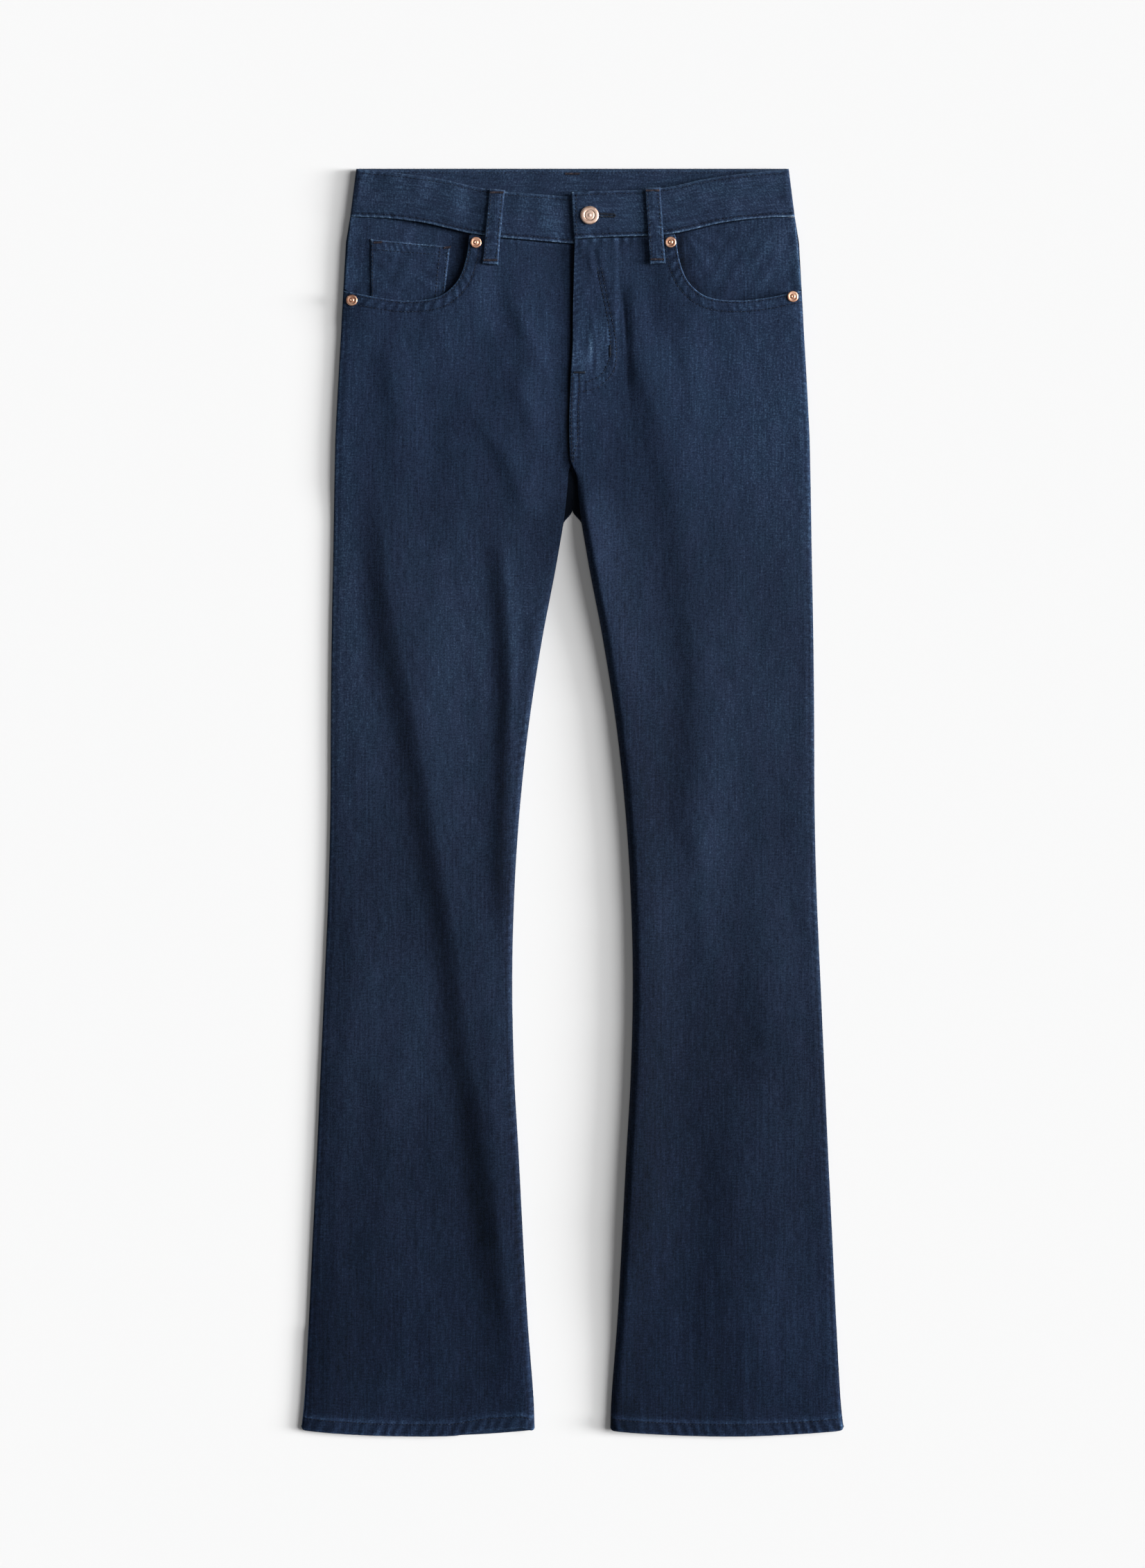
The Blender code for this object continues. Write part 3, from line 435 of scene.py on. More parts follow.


# Folds of the front. Each crest is in photograph pixels, with its height and
# how far it falls to its left and right in millimetres.

# Some folds also carry painted shade: how much darker the cloth is painted on the left flank and at
# the crest.
folds = [
    # photo's left leg: the long fold from the hip down to the inner hem
    {"crest": [(546, 600), (553, 780), (572, 900), (597, 1020), (622, 1160), (643, 1270),
               (664, 1390), (681, 1520), (698, 1620), (716, 1740), (734, 1860), (744, 1975),
               (748, 2030)],
     "height": 3.1, "leftFall": 15, "rightFall": 34, "flank": 0.22, "ridge": 0.06},
    {"crest": [(720, 740), (734, 900), (738, 1050), (737, 1170), (734, 1300), (733, 1370)],
     "height": 2.0, "leftFall": 10, "rightFall": 8, "flank": 0.34, "ridge": 0.0},
    {"crest": [(560, 480), (578, 620), (590, 720)], "height": 1.4, "leftFall": 11, "rightFall": 20},
    # drag lines from the crotch
    {"crest": [(728, 405), (771, 496), (813, 570)], "height": 1.5, "leftFall": 7, "rightFall": 12},
    {"crest": [(780, 430), (814, 520)], "height": 1.1, "leftFall": 5, "rightFall": 8},
    {"crest": [(733, 535), (772, 604), (803, 668), (800, 715)],
     "height": 1.7, "leftFall": 8, "rightFall": 13},
    {"crest": [(690, 600), (742, 680), (770, 760)], "height": 1.2, "leftFall": 9, "rightFall": 14},
    {"crest": [(640, 470), (665, 560), (700, 640)], "height": 0.9, "leftFall": 10, "rightFall": 16},
    # photo's right leg
    {"crest": [(921, 380), (926, 490), (938, 560), (962, 640), (982, 740), (996, 840), (1004, 940),
               (1008, 1020), (1004, 1100), (996, 1190), (1000, 1290)],
     "height": 2.1, "leftFall": 17, "rightFall": 30, "flank": 0.04, "ridge": 0.06},
    {"crest": [(911, 392), (915, 460), (918, 520), (921, 572)],
     "height": 1.3, "leftFall": 3.8, "rightFall": 15},
    {"crest": [(984, 420), (996, 550), (1004, 640)], "height": 1.2, "leftFall": 9, "rightFall": 16},
    {"crest": [(1004, 1160), (1016, 1330), (1022, 1430)],
     "height": 1.5, "leftFall": 12, "rightFall": 22},
    {"crest": [(1085, 1200), (1102, 1400), (1120, 1620)],
     "height": 1.0, "leftFall": 14, "rightFall": 26},
    # crinkles at the top of the fly
    {"crest": [(846, 351), (850, 372), (856, 398)],
     "height": 0.8, "leftFall": 2.2, "rightFall": 3.6},
    {"crest": [(862, 353), (867, 380), (872, 408)],
     "height": 0.8, "leftFall": 2.2, "rightFall": 4.0},
    {"crest": [(838, 350), (841, 372)], "height": 0.6, "leftFall": 1.8, "rightFall": 2.6},
    {"crest": [(852, 440), (855, 480), (857, 520)],
     "height": 0.6, "leftFall": 2.2, "rightFall": 4.0},
    {"crest": [(868, 470), (870, 505), (868, 530)],
     "height": 0.5, "leftFall": 2.0, "rightFall": 3.5},
    {"crest": [(1090, 1500), (1085, 1700), (1078, 1900), (1070, 2010)],
     "height": 3.6, "leftFall": 44, "rightFall": 30},
    # low soft unevenness of the lower legs
    {"crest": [(560, 1500), (548, 1700), (540, 1900)],
     "height": 0.9, "leftFall": 16, "rightFall": 26},
    {"crest": [(480, 1250), (474, 1400), (470, 1600)],
     "height": 0.7, "leftFall": 14, "rightFall": 22},
    {"crest": [(610, 1750), (618, 1900), (640, 2010)],
     "height": 0.9, "leftFall": 12, "rightFall": 20},
]
for fold in folds:
    fold["path"] = smoothPath(placed(fold["crest"]), 6)


dyeAndShadePatches = [  # paler and darker patches, partly painted light and shade and partly uneven dye: photograph pixels, then reach in millimetres
    {"at": (1120, 560), "reach": (42, 190), "amount": 0.09},
    {"at": (500, 740), "reach": (16, 210), "amount": 0.17},
    {"at": (1000, 1850), "reach": (52, 130), "amount": -0.12},
    {"at": (560, 1960), "reach": (95, 80), "amount": -0.09},
    {"at": (690, 540), "reach": (24, 40), "amount": -0.08},
    {"at": (970, 1090), "reach": (28, 170), "amount": -0.12},
    {"at": (902, 862), "reach": (15, 60), "amount": -0.2},
    {"at": (1044, 730), "reach": (24, 130), "amount": -0.08},
    {"at": (610, 930), "reach": (20, 70), "amount": -0.05},
]


def dyeAndShadeAt(x, down):
    total = np.zeros(np.shape(x))
    for dyeAndShadePatch in dyeAndShadePatches:
        (atX, atDown), (wide, long) = placed(dyeAndShadePatch["at"]), dyeAndShadePatch["reach"]
        total = total + dyeAndShadePatch["amount"] * bell(x - atX, wide) * bell(down - atDown, long)
    return total


creases = [  # thin dips, with the painted shade in them
    {"line": [(894, 398), (901, 450), (905, 500), (908, 560), (911, 620)],
     "depth": 0.8, "reach": 1.6, "dark": 0.2},
]
for crease in creases:
    crease["path"] = smoothPath(placed(crease["line"]), 5)


def creaseDepth(x, down, key):
    total = np.zeros(np.shape(x))
    for crease in creases:
        distance, run, _, length = nearPath(crease["path"], x, down)
        ends = ease(0, 0.25, run / length) * ease(0, 0.3, 1 - run / length)
        total = total + crease[key] * ends * bell(distance, crease["reach"])
    return total


def foldRelief(x, down, shade=False):  # with shade, the painted shade of the folds: how much darker the cloth is painted on left flanks and crests
    total = np.zeros(np.shape(x))
    for k, fold in enumerate(folds):
        path = fold["path"]
        reach = 3.2 * max(fold["leftFall"], fold["rightFall"])
        low, high = path.min(0) - reach, path.max(0) + reach
        near = (x > low[0]) & (x < high[0]) & (down > low[1]) & (down < high[1])
        if not near.any():
            continue
        distance, run, hand, length = nearPath(path, x[near], down[near])
        fall = np.where(hand < 0, fold["leftFall"], fold["rightFall"])
        fall = fall * (1 + 0.18 * waves(run, 0, 90, 300 + k))
        ends = ease(0, 0.2, run / length) * ease(0, 0.2, 1 - run / length)
        strength = np.clip(0.88 + 0.24 * waves(run, 0, 150, 200 + k), 0.4, 1.25)
        if not shade:
            total[near] += fold["height"] * ends * strength * bell(distance, fall)
            continue
        foot = bell(distance - 0.8 * fold["leftFall"], 0.75 * fold["leftFall"]) * (hand < 0)
        ridge = bell(distance, 0.6 * fold["rightFall"])
        total[near] -= ends * (fold.get("flank", 0) * foot + fold.get("ridge", 0) * ridge)
    return total


print("folds placed")


# Cloth shells.

cloths = {}
insideShare = 0.3  # how much of the outside's wear and painted shade shows on the inside


def linked(name, data):
    made = bpy.data.objects.new(name, data)
    bpy.context.scene.collection.objects.link(made)
    return made


def clothPlace(x, down):  # where on the cloth a point is, for its weave
    return np.stack([x, -down], -1)


def gridNormals(grid, facing):
    normals = np.cross(np.gradient(grid, axis=0), np.gradient(grid, axis=1))
    normals /= np.maximum(np.linalg.norm(normals, axis=2), 1e-12)[..., None]
    turned = normals[grid.shape[0] // 2, grid.shape[1] // 2, 2] * facing < 0
    return (-normals if turned else normals), turned


def clothShell(node, grid, thickness, facing, uv, wearAndPaintedShade, inside=None):
    # The grid is the outer face, with odd counts both ways. The inner face takes every second
    # line of it. uv is the place on the cloth in millimetres. The argument after it says how far
    # the dye is rubbed off, and it also holds painted shade on folds, in creases and in recesses.
    name = "cloth_" + node
    normals, turned = gridNormals(grid, facing)
    outer, inner = grid, (grid - normals * thickness)[::2, ::2]
    rows, columns = grid.shape[:2]
    outerId = np.arange(rows * columns).reshape(rows, columns)
    innerId = rows * columns + np.arange(inner[..., 0].size).reshape(inner.shape[:2])

    def quads(ids):
        corners = (ids[:-1, :-1], ids[1:, :-1], ids[1:, 1:], ids[:-1, 1:])
        return np.stack(corners, -1).reshape(-1, 4)

    def rim(outside, within, flip):
        corners = (outside[:-2:2], outside[1:-1:2], outside[2::2], within[1:], within[:-1])
        faces = np.stack(corners, -1)
        return faces[:, ::-1] if flip else faces

    faces = [quads(outerId)[:, ::-1] if turned else quads(outerId)]
    faces.append(quads(innerId) if turned else quads(innerId)[:, ::-1])
    faces.append(rim(outerId[0], innerId[0], turned))
    faces.append(rim(outerId[-1], innerId[-1], not turned))
    faces.append(rim(outerId[:, 0], innerId[:, 0], not turned))
    faces.append(rim(outerId[:, -1], innerId[:, -1], turned))
    spots = np.concatenate([outer.reshape(-1, 3), inner.reshape(-1, 3)]) * metre
    mesh = bpy.data.meshes.new(name)
    mesh.from_pydata(spots.tolist(), [], [face for part in faces for face in part.tolist()])
    layer = mesh.uv_layers.new(name="cloth")
    places = np.concatenate([uv.reshape(-1, 2), uv[::2, ::2].reshape(-1, 2)]) * metre
    corner = np.empty(len(mesh.loops), int)
    mesh.loops.foreach_get("vertex_index", corner)
    layer.data.foreach_set("uv", places[corner].astype(np.float32).ravel())
    outsideWearAndShade = np.broadcast_to(wearAndPaintedShade, (rows, columns))
    within = outsideWearAndShade[::2, ::2] * insideShare if inside is None else inside[::2, ::2]
    attribute = mesh.attributes.new("wearAndPaintedShade", "FLOAT", "POINT")
    values = np.concatenate([outsideWearAndShade.ravel(), within.ravel()])
    attribute.data.foreach_set("value", values.astype(np.float32))
    fresh = readTable(denimLook["freshDown"], denimLook["freshShare"],
                      laidLength / 2 - spots[:, 1] / metre)
    attribute = mesh.attributes.new("fresh", "FLOAT", "POINT")
    attribute.data.foreach_set("value", fresh.astype(np.float32))
    mesh.materials.append(denim)
    mesh.shade_smooth()
    mesh.validate()
    cloths[node] = linked(name, mesh)


def upright(x, down, height):
    return np.stack([x, laidLength / 2 - down, height], -1)


rollAngles = np.radians(np.arange(0, 91, 11.25))


def acrossColumns(outerX, innerX, roll, between, middle=None):
    # Across places from the outer to the inner edge, close together where the edges roll.
    outerX, innerX = np.asarray(outerX, float)[..., None], np.asarray(innerX, float)[..., None]
    insets = roll * (1 - np.cos(rollAngles))
    middle = np.linspace(0, 1, between + 1)[1:-1] if middle is None else middle
    start, end = outerX - roll, innerX + roll
    return np.concatenate([outerX - insets, mix(start, end, middle), innerX + insets[::-1]], -1)


# Front panels.

frontPanel = {
    "roll": 6.5, "between": 96, "fanDown": 150.0, "fanRows": 72, "rowStep": 2.2,
    "fineWidth": 44.0, "fineShare": 0.4, "fineDown": 262.0, "fineStep": 1.5,
    "hemHeight": 11.8, "hemDip": 5.0, "hemDipStart": 900.0, "hemDown": 1065.0,
    "hemRaise": 1.1, "hemCurl": 1.6, "hemPitch": 9.5, "hemPucker": 0.2, "hemOpen": 3.2,
    "edgeCurl": 1.5, "edgeDrop": 0.9, "thick": 1.25,
}


def topEdge(side):  # the pocket mouth and then the waist seam, as across and down
    path = smoothPath(mouth["points"], 10)
    across = np.linspace(path[-1, 0], frontInner(side, 60.0), 60)[1:]
    seam = np.stack([across, bandEdges(side, across)[1] + layers["gap"]], -1)
    return np.concatenate([path, seam])


topEdges = {side: topEdge(side) for side in (right, left)}
mouthPath = smoothPath(mouth["points"], 10)


def hemDip(share, side=None):  # the front hem on the photo's left lifts a little near the inseam
    dip = frontPanel["hemDip"] * 4 * share * (1 - share)
    dip = dip - 2.2 * (1 - rounded(np.minimum(share, 1 - share) * 320, 5))
    if side == right:
        dip = dip - frontPanel["hemOpen"] * ease(0.64, 0.8, share) * (1 - ease(0.94, 1, share))
    return dip


def hemShape(down, share, side=None):
    start, end = frontPanel["hemDipStart"], frontPanel["hemDown"]
    return down + hemDip(share, side) * ease(start, end, down)


def flyDoubled(across, down):  # 1 where the fly's facing doubles the left panel, 0 outside it
    drop = np.clip((down - fly["curve"]) / (fly["bottom"] - fly["curve"]), 0, 1)
    width = fly["width"] * np.sqrt(1 - drop * drop)
    beside = 1 - ease(-fly["soft"], fly["soft"], across - width)
    return beside * (1 - ease(-fly["soft"], fly["soft"], down - fly["bottom"]))


def flyDistance(toInner, down):  # from the fly's edge, and out of reach below it
    return toInner + farOff * ease(*fly["part"], down)


def rowDistance(flyX, inset, down):  # from a row that runs down the seam below the fly's curve
    return flyX - inset + farOff * (1 - ease(*fly["rowsStart"], down))


def frontRelief(side, across, down):  # folds, seam puckers and unevenness above the plain layer
    x = side * across
    toOuter, toInner = outerEdge(down) - across, across - frontInner(side, down)
    clear = ease(5, 26, toOuter) * mix(1, ease(3, 22, toInner), ease(235, 330, down))
    relief = foldRelief(x, down) * clear - creaseDepth(x, down, "depth")
    relief += 0.32 * waves(x, down * 0.45, 58, 11) * clear
    relief += 0.13 * waves(x, down * 0.4, 21, 12) * ease(2, 12, toOuter)
    # the leg on the photo's right stands up along its inseam
    if side == left:
        stand = ease(262, 320, down) * (1 - 0.75 * ease(880, 1060, down))
        relief += 7.6 * stand * bell(toInner - 3, 30)
        relief += 3.6 * ease(255, 285, down) * (1 - ease(330, 460, down)) * bell(toInner - 3, 18)
        flyX = flyDistance(toInner, down)
        relief += 0.30 * pucker(flyX - 3, down, 5.2, 5, 0.5, 81)
        for row in ("outer", "inner"):
            near, run, _, _ = nearPath(jPaths[row], x, down)
            relief += 0.13 * pucker(near, run, 5.5, 2.8, 0.3, 83) - 0.32 * bell(near, 1.1)
        for inset in fly["rows"]:
            near = rowDistance(flyX, inset, down)
            relief += 0.18 * pucker(near, down, 5.0, 2.5, 0.3, 85) - 0.3 * bell(near, 1.1)
    else:
        relief += 1.8 * ease(300, 420, down) * bell(toInner - 4, 22)
    # gathers along the seams
    relief += 0.20 * pucker(toOuter - 4, down, 8.0, 5, 0.5, 21 + side)
    relief -= 0.35 * bell(toOuter - 4.2, 1.4)  # the seam itself
    inseam = ease(300, 360, down) * (0.25 if side == left else 1)
    relief += inseam * 0.30 * pucker(toInner - 4, down, 9.0, 7, -0.5, 31 + side)
    relief -= inseam * 0.35 * bell(toInner - 4.5, 1.5)
    distance, run, _, _ = nearPath(mouthPath, across, down)
    relief += 0.34 * pucker(distance - 5.5, run, mouth["pitch"], 5.5, 0.55, 41 + side)
    relief -= 0.30 * bell(distance - 9.5, 1.1) + 0.18 * bell(distance - 1.9, 0.9)
    below = down - bandEdges(side, across)[1]
    relief += 0.28 * pucker(below, across, 8.5, 7, 0.2, 51 + side)
    return relief


def hemRelief(side, across, down, dip):
    # roping: the folded hem twists, so its gathers run slantwise
    above = frontPanel["hemDown"] + dip - down
    band = ease(-0.8, 0.8, frontPanel["hemHeight"] - above)
    slant = pucker(above - 4, across, frontPanel["hemPitch"], 9, 0.45, 61 + side)
    return band * (frontPanel["hemRaise"] + frontPanel["hemPucker"] * slant) - 0.5 * bell(
        above - frontPanel["hemHeight"] - 1.2, 1.6)


def frontHeight(side, across, down):
    across, down = np.broadcast_arrays(np.asarray(across, float), np.asarray(down, float))
    outerX, innerX = outerEdge(down), frontInner(side, down)
    body = layers["body"] + frontRelief(side, across, down)
    nearFly = (1 - ease(*fly["reach"], across)) * (1 - ease(fly["part"][1], 300, down))
    lapHeight = fly["over"] if side == left else fly["under"]
    ownRelief = (body - layers["body"]) * (0.8 if side == left else 0.0)
    body = mix(body, lapHeight + ownRelief * ease(-6, 6, across), nearFly)
    riseMouth = mouth["rise"] * (1 - ease(*mouth["riseFade"], down))
    body = body + riseMouth * ease(*mouth["riseStart"], across)
    if side == left:
        rise = fly["tabRise"] * (1 - ease(*fly["tabRiseFade"], down))
        body = body + rise * (1 - ease(*fly["tabRiseReach"], across))
        body = body + fly["raise"] * flyDoubled(across, down)
    share = (outerX - across) / np.maximum(outerX - innerX, 1)
    dip = hemDip(share, side)
    body = body + hemRelief(side, across, down, np.where(down > 1000, dip, 0))
    seam = lift(down) + layers["backRoll"] + layers["gap"]
    rolledInner = rounded(across - innerX, frontPanel["roll"])
    rolledInner = mix(1, rolledInner, ease(*fly["crotchRoll"], down))
    atOuter = rounded(outerX - across, frontPanel["roll"])
    if side == right:  # thin at the photo's left edge
        atOuter = mix(atOuter, ease(-3, 24, outerX - across), 0.55)
        atOuter = atOuter * ease(-0.01, 0.6, outerX - across)
    raised = atOuter * rolledInner
    height = mix(seam, lift(down) + body, raised)
    distance, _, _, _ = nearPath(topEdges[side], across, down)
    height = height - frontPanel["edgeDrop"] * (1 - rounded(distance, frontPanel["edgeCurl"]))
    if side == left:
        atFly = (1 - rounded(across - innerX, 1.3)) * (1 - ease(*fly["part"], down))
        height = height - 0.8 * atFly
    atHem = 1 - rounded(frontPanel["hemDown"] + dip - down, frontPanel["hemCurl"])
    return height - 1.0 * atHem * (down > 1000)


def frontWearAndShade(side, across, down):
    x = side * across
    toOuter, toInner = outerEdge(down) - across, across - frontInner(side, down)
    wearAndShade = 0.05 * waves(x, down * 0.5, 120, 71) - 0.2 * ease(450, 950, down)
    # the wearer's left upper leg is painted paler: partly painted light from the right, partly
    # paler dye
    wearAndShade = wearAndShade + (0.05 if side == left else 0.0) * (1 - ease(300, 620, down)) * ease(30, 90, across)
    # painted shade in the creases and on the folds, and the patches painted paler and darker
    wearAndShade = wearAndShade - creaseDepth(x, down, "dark") + foldRelief(x, down, True) + dyeAndShadeAt(x, down)
    # crests rub lighter, and the feet of folds are painted dark as shade
    relief = frontRelief(side, across, down)
    wearAndShade = wearAndShade + 0.02 * np.clip(relief - 0.6, -1, 3)
    streak = np.clip(waves(x, down * 0.04, 9, 72), 0, 2)
    wearAndShade = wearAndShade + 0.05 * streak * ease(700, 1000, down) * (1 if side == left else 0.5)
    # edges and seams
    distance, run, _, _ = nearPath(mouthPath, across, down)
    edge = 0.4 + 0.2 * pucker(0, run, mouth["pitch"], 5, 0, 41 + side)
    wearAndShade = wearAndShade + edge * bell(distance - 0.2, 0.8)
    wearAndShade = wearAndShade - 0.16 * bell(distance - 9.5, 1.0) - 0.12 * bell(distance - 2.2, 0.8)
    below = down - bandEdges(side, across)[1]
    wearAndShade = wearAndShade + (0.12 + 0.12 * pucker(0, across, 8.5, 5, 0, 51 + side)) * bell(below - 2.2, 1.2)
    gathered = pucker(distance - 5.5, run, mouth["pitch"], 4.5, 0.55, 41 + side)
    wearAndShade = wearAndShade + 0.2 * np.clip(gathered, -0.7, 1)
    wearAndShade = wearAndShade + 0.16 * np.clip(pucker(toOuter - 3, down, 8, 4, 0.5, 21 + side), 0, 1)
    lower = ease(300, 500, down) * (0.2 if side == left else 1)
    wearAndShade = wearAndShade + lower * 0.13 * np.clip(pucker(toInner - 3, down, 9, 4, -0.5, 31 + side), -0.4, 1)
    wearAndShade = wearAndShade + lower * (0.05 * bell(toInner - 1.6, 1.4) - 0.2 * bell(toInner - 5.2, 1.0))
    wearAndShade = wearAndShade - 0.16 * bell(toOuter - 4.2, 1.0) + 0.1 * bell(toOuter - 1.5, 1.3)
    share = toOuter / np.maximum(toOuter + toInner, 1)
    above = frontPanel["hemDown"] + hemDip(share, side) - down
    hem = above < frontPanel["hemHeight"] + 3
    slant = pucker(above - 4, across, frontPanel["hemPitch"], 8, 0.45, 61 + side)
    wearAndShade = wearAndShade + hem * (0.08 + 0.21 * np.clip(slant, -0.7, 1) + 0.22 * bell(above - 0.8, 1.1))
    wearAndShade = wearAndShade + 0.3 * bell(above - frontPanel["hemHeight"] + 0.4, 0.9)
    wearAndShade = wearAndShade - 0.16 * bell(above - frontPanel["hemHeight"] + 1.8, 0.8)
    if side == left:
        flyX = flyDistance(toInner * (1 - ease(*fly["part"], down)), down)
        wearAndShade = wearAndShade + 0.3 * bell(flyX - 0.6, 0.9)
        wearAndShade = wearAndShade + 0.2 * np.clip(pucker(flyX - 3, down, 5.2, 5, 0.5, 81), -0.3, 1)
        spot = bell(x - 20, 22) * bell(down - 154, 20)
        wearAndShade = wearAndShade + spot * (0.2 + 0.16 * waves(x, down * 0.12, 5, 82))
        for row in ("outer", "inner"):
            near, run, _, _ = nearPath(jPaths[row], x, down)
            wearAndShade = wearAndShade + 0.12 * np.clip(pucker(near, run, 5.5, 2.4, 0.3, 83), -0.5, 1)
            wearAndShade = wearAndShade - 0.17 * bell(near, 0.9)
        for inset in fly["rows"]:
            near = rowDistance(flyX, inset, down)
            wearAndShade = wearAndShade - 0.2 * bell(near, 0.9)
            wearAndShade = wearAndShade + 0.2 * np.clip(pucker(near - 1, down, 5.0, 2.5, 0.3, 85), -0.3, 1)
        belowCurve = ease(168, 178, down) * (1 - ease(238, 250, down))
        wearAndShade = wearAndShade + belowCurve * (0.2 * bell(flyX - 4.6, 1.7) + 0.1 * bell(flyX - 9.6, 1.3))
        wearAndShade = wearAndShade - 0.22 * ease(330, 480, down) * bell(toInner - 14, 26)
    else:  # in the shade of the fly's edge and of the seam below it
        wearAndShade = wearAndShade - 0.16 * ease(90, 200, down) * (1 - ease(250, 300, down)) * bell(across - 2, 9)
        atEdge = (1 - ease(*fly["lapPart"], down)) * bell(across + flyEdge(down) - 0.4, 1.8)
        wearAndShade = wearAndShade - 0.7 * atEdge
    return wearAndShade


def frontGrid(side):
    between, roll = frontPanel["between"], frontPanel["roll"]
    hemStart = frontPanel["hemDown"] - frontPanel["hemHeight"]
    fineDown = frontPanel["fineDown"]
    fineSteps = int(round((fineDown - frontPanel["fanDown"]) / frontPanel["fineStep"]))
    steps = int(round((hemStart - fineDown) / frontPanel["rowStep"]))
    rows = np.concatenate([np.linspace(frontPanel["fanDown"], fineDown, fineSteps + 1)[:-1],
                           np.linspace(fineDown, hemStart, steps + 1)])
    hem = hemStart + np.array([0.7, 1.5, 3, 4.6, 6.2, 7.8, 9.2, 10.2, 10.9, 11.4, 11.7, 11.8])
    rows = np.concatenate([rows, hem])
    even = np.linspace(0, 1, between + 1)[1:-1]
    closer = even
    if side == left:  # columns close together on the fly
        near = int(between * frontPanel["fineShare"])
        start = 1 - frontPanel["fineWidth"] / 205.0
        closer = np.concatenate([np.linspace(0, start, between - near + 1)[:-1],
                                 np.linspace(start, 1, near + 1)])[1:-1]
    middle = mix(closer, even, ease(230, 420, rows)[:, None])
    lowerX = acrossColumns(outerEdge(rows), frontInner(side, rows), roll, between, middle)
    share = (lowerX[:, :1] - lowerX) / (lowerX[:, :1] - lowerX[:, -1:])
    lowerDown = hemShape(rows[:, None], share, side)
    edge = topEdges[side]
    total = pathReach(edge)[-1]
    lengths = total - acrossColumns(total, 0.0, roll, between, closer)
    top = alongPath(edge, lengths)
    fan = np.linspace(0, 1, frontPanel["fanRows"] + 1)[:-1]
    fan = 0.35 * fan ** 2 + 0.65 * fan  # closer together at the top edge
    fan = np.insert(fan, 1, [0.004, 0.009])
    if (len(fan) + len(rows)) % 2 == 0:
        fan = np.delete(fan, len(fan) // 2)
    fanX = mix(top[None, :, 0], lowerX[:1], fan[:, None])
    fanDown = mix(top[None, :, 1], lowerDown[:1], fan[:, None])
    return np.concatenate([fanX, lowerX]), np.concatenate([fanDown, lowerDown])


def frontPanelPiece(node, side):
    across, down = frontGrid(side)
    grid = upright(side * across, down, frontHeight(side, across, down))
    wearAndPaintedShade = frontWearAndShade(side, across, down)
    clothShell(node, grid, frontPanel["thick"], up, clothPlace(side * across, down), wearAndPaintedShade)


for side, word in bothSides:
    frontPanelPiece(f"front_panel_{word}", side)
print("front panels made")


# Back panels and yokes: they lie on the floor, so their folds lift off it.

back = {
    "between": 36, "fanDown": 150, "fanRows": 17, "rowStep": 5.5, "hemStart": 1053.2,
    "yokeSide": 64.0, "yokeCentre": 108.0, "seamGap": 0.04, "thick": 1.3,
    "sideBulk": 1.1, "sideBulkReach": 5.0,
    "fork": (288, 300), "forkRows": (285.0, 304.0, 1.25),  # rows are closer together there
    "yokeStitches": (1.8, 7.6), "centreStitches": (2.0, 7.8),
}
backFolds = [
    {"crest": [(-60, 300), (-78, 520), (-70, 760)], "height": 1.0, "fall": 14},
    {"crest": [(-140, 380), (-128, 620), (-150, 860)], "height": 0.8, "fall": 20},
    {"crest": [(-30, 320), (-90, 400), (-150, 430)], "height": 0.8, "fall": 9},
    {"crest": [(-120, 900), (-112, 1040)], "height": 0.7, "fall": 16},
    {"crest": [(52, 310), (70, 560), (84, 800)], "height": 1.0, "fall": 15},
    {"crest": [(30, 315), (80, 380), (150, 400)], "height": 0.8, "fall": 10},
    {"crest": [(160, 420), (148, 700), (170, 980)], "height": 0.8, "fall": 22},
    {"crest": [(110, 840), (120, 1040)], "height": 0.6, "fall": 15},
]


def yokeSeam(across):
    return mix(back["yokeCentre"], back["yokeSide"], across / waist["side"])


def backOuter(down):
    return outerEdge(down) + back["sideBulk"] * bell(down - back["yokeSide"], back["sideBulkReach"])


def backInner(down):
    return mix(back["seamGap"], innerEdge(down), ease(*back["fork"], down))


def backHeight(side, across, down):
    across, down = np.broadcast_arrays(np.asarray(across, float), np.asarray(down, float))
    x = side * across
    roll, innerRoll = layers["backRoll"], ease(*back["fork"], down)
    outerX, innerX = backOuter(down), backInner(down)
    raised = mix(1, rounded(across - innerX, roll), innerRoll) * rounded(outerX - across, roll)
    relief = np.zeros(np.shape(x))
    for fold in backFolds:
        path = smoothPath(fold["crest"], 5)
        distance, run, _, length = nearPath(path, x, down)
        ends = ease(0, 0.25, run / length) * ease(0, 0.25, 1 - run / length)
        relief += fold["height"] * ends * bell(distance, fold["fall"])
    relief = relief * ease(4, 20, outerX - across) * ease(300, 380, down)
    relief = relief + 0.1 * (1 + waves(x, down * 0.5, 45, 91)) * ease(3, 14, outerX - across)
    return lift(down) + relief + roll * (1 - raised)


def backWorn(side, across, down):
    x = side * across
    wearAndShade = 0.08 * waves(x, down * 0.5, 110, 92) - 0.06 * ease(500, 1000, down)
    wearAndShade = wearAndShade + 0.3 * np.clip(pucker(backOuter(down) - across - 3, down, 8, 5, 0.5, 93), 0, 1)
    seam = np.abs(down - yokeSeam(across))
    wearAndShade = wearAndShade + 0.4 * np.clip(pucker(seam - 2, across, 7, 5, 0.3, 94), -0.4, 1)
    centre = 1 - ease(270, 300, down)
    wearAndShade = wearAndShade + 0.35 * centre * np.clip(pucker(across - 3, down, 7, 5, 0.3, 95), -0.4, 1)
    above = frontPanel["hemDown"] - down
    slant = np.clip(pucker(above - 4, across, frontPanel["hemPitch"], 8, 0.45, 96), -0.5, 1)
    return wearAndShade + (above < 14) * (0.05 + 0.2 * slant)


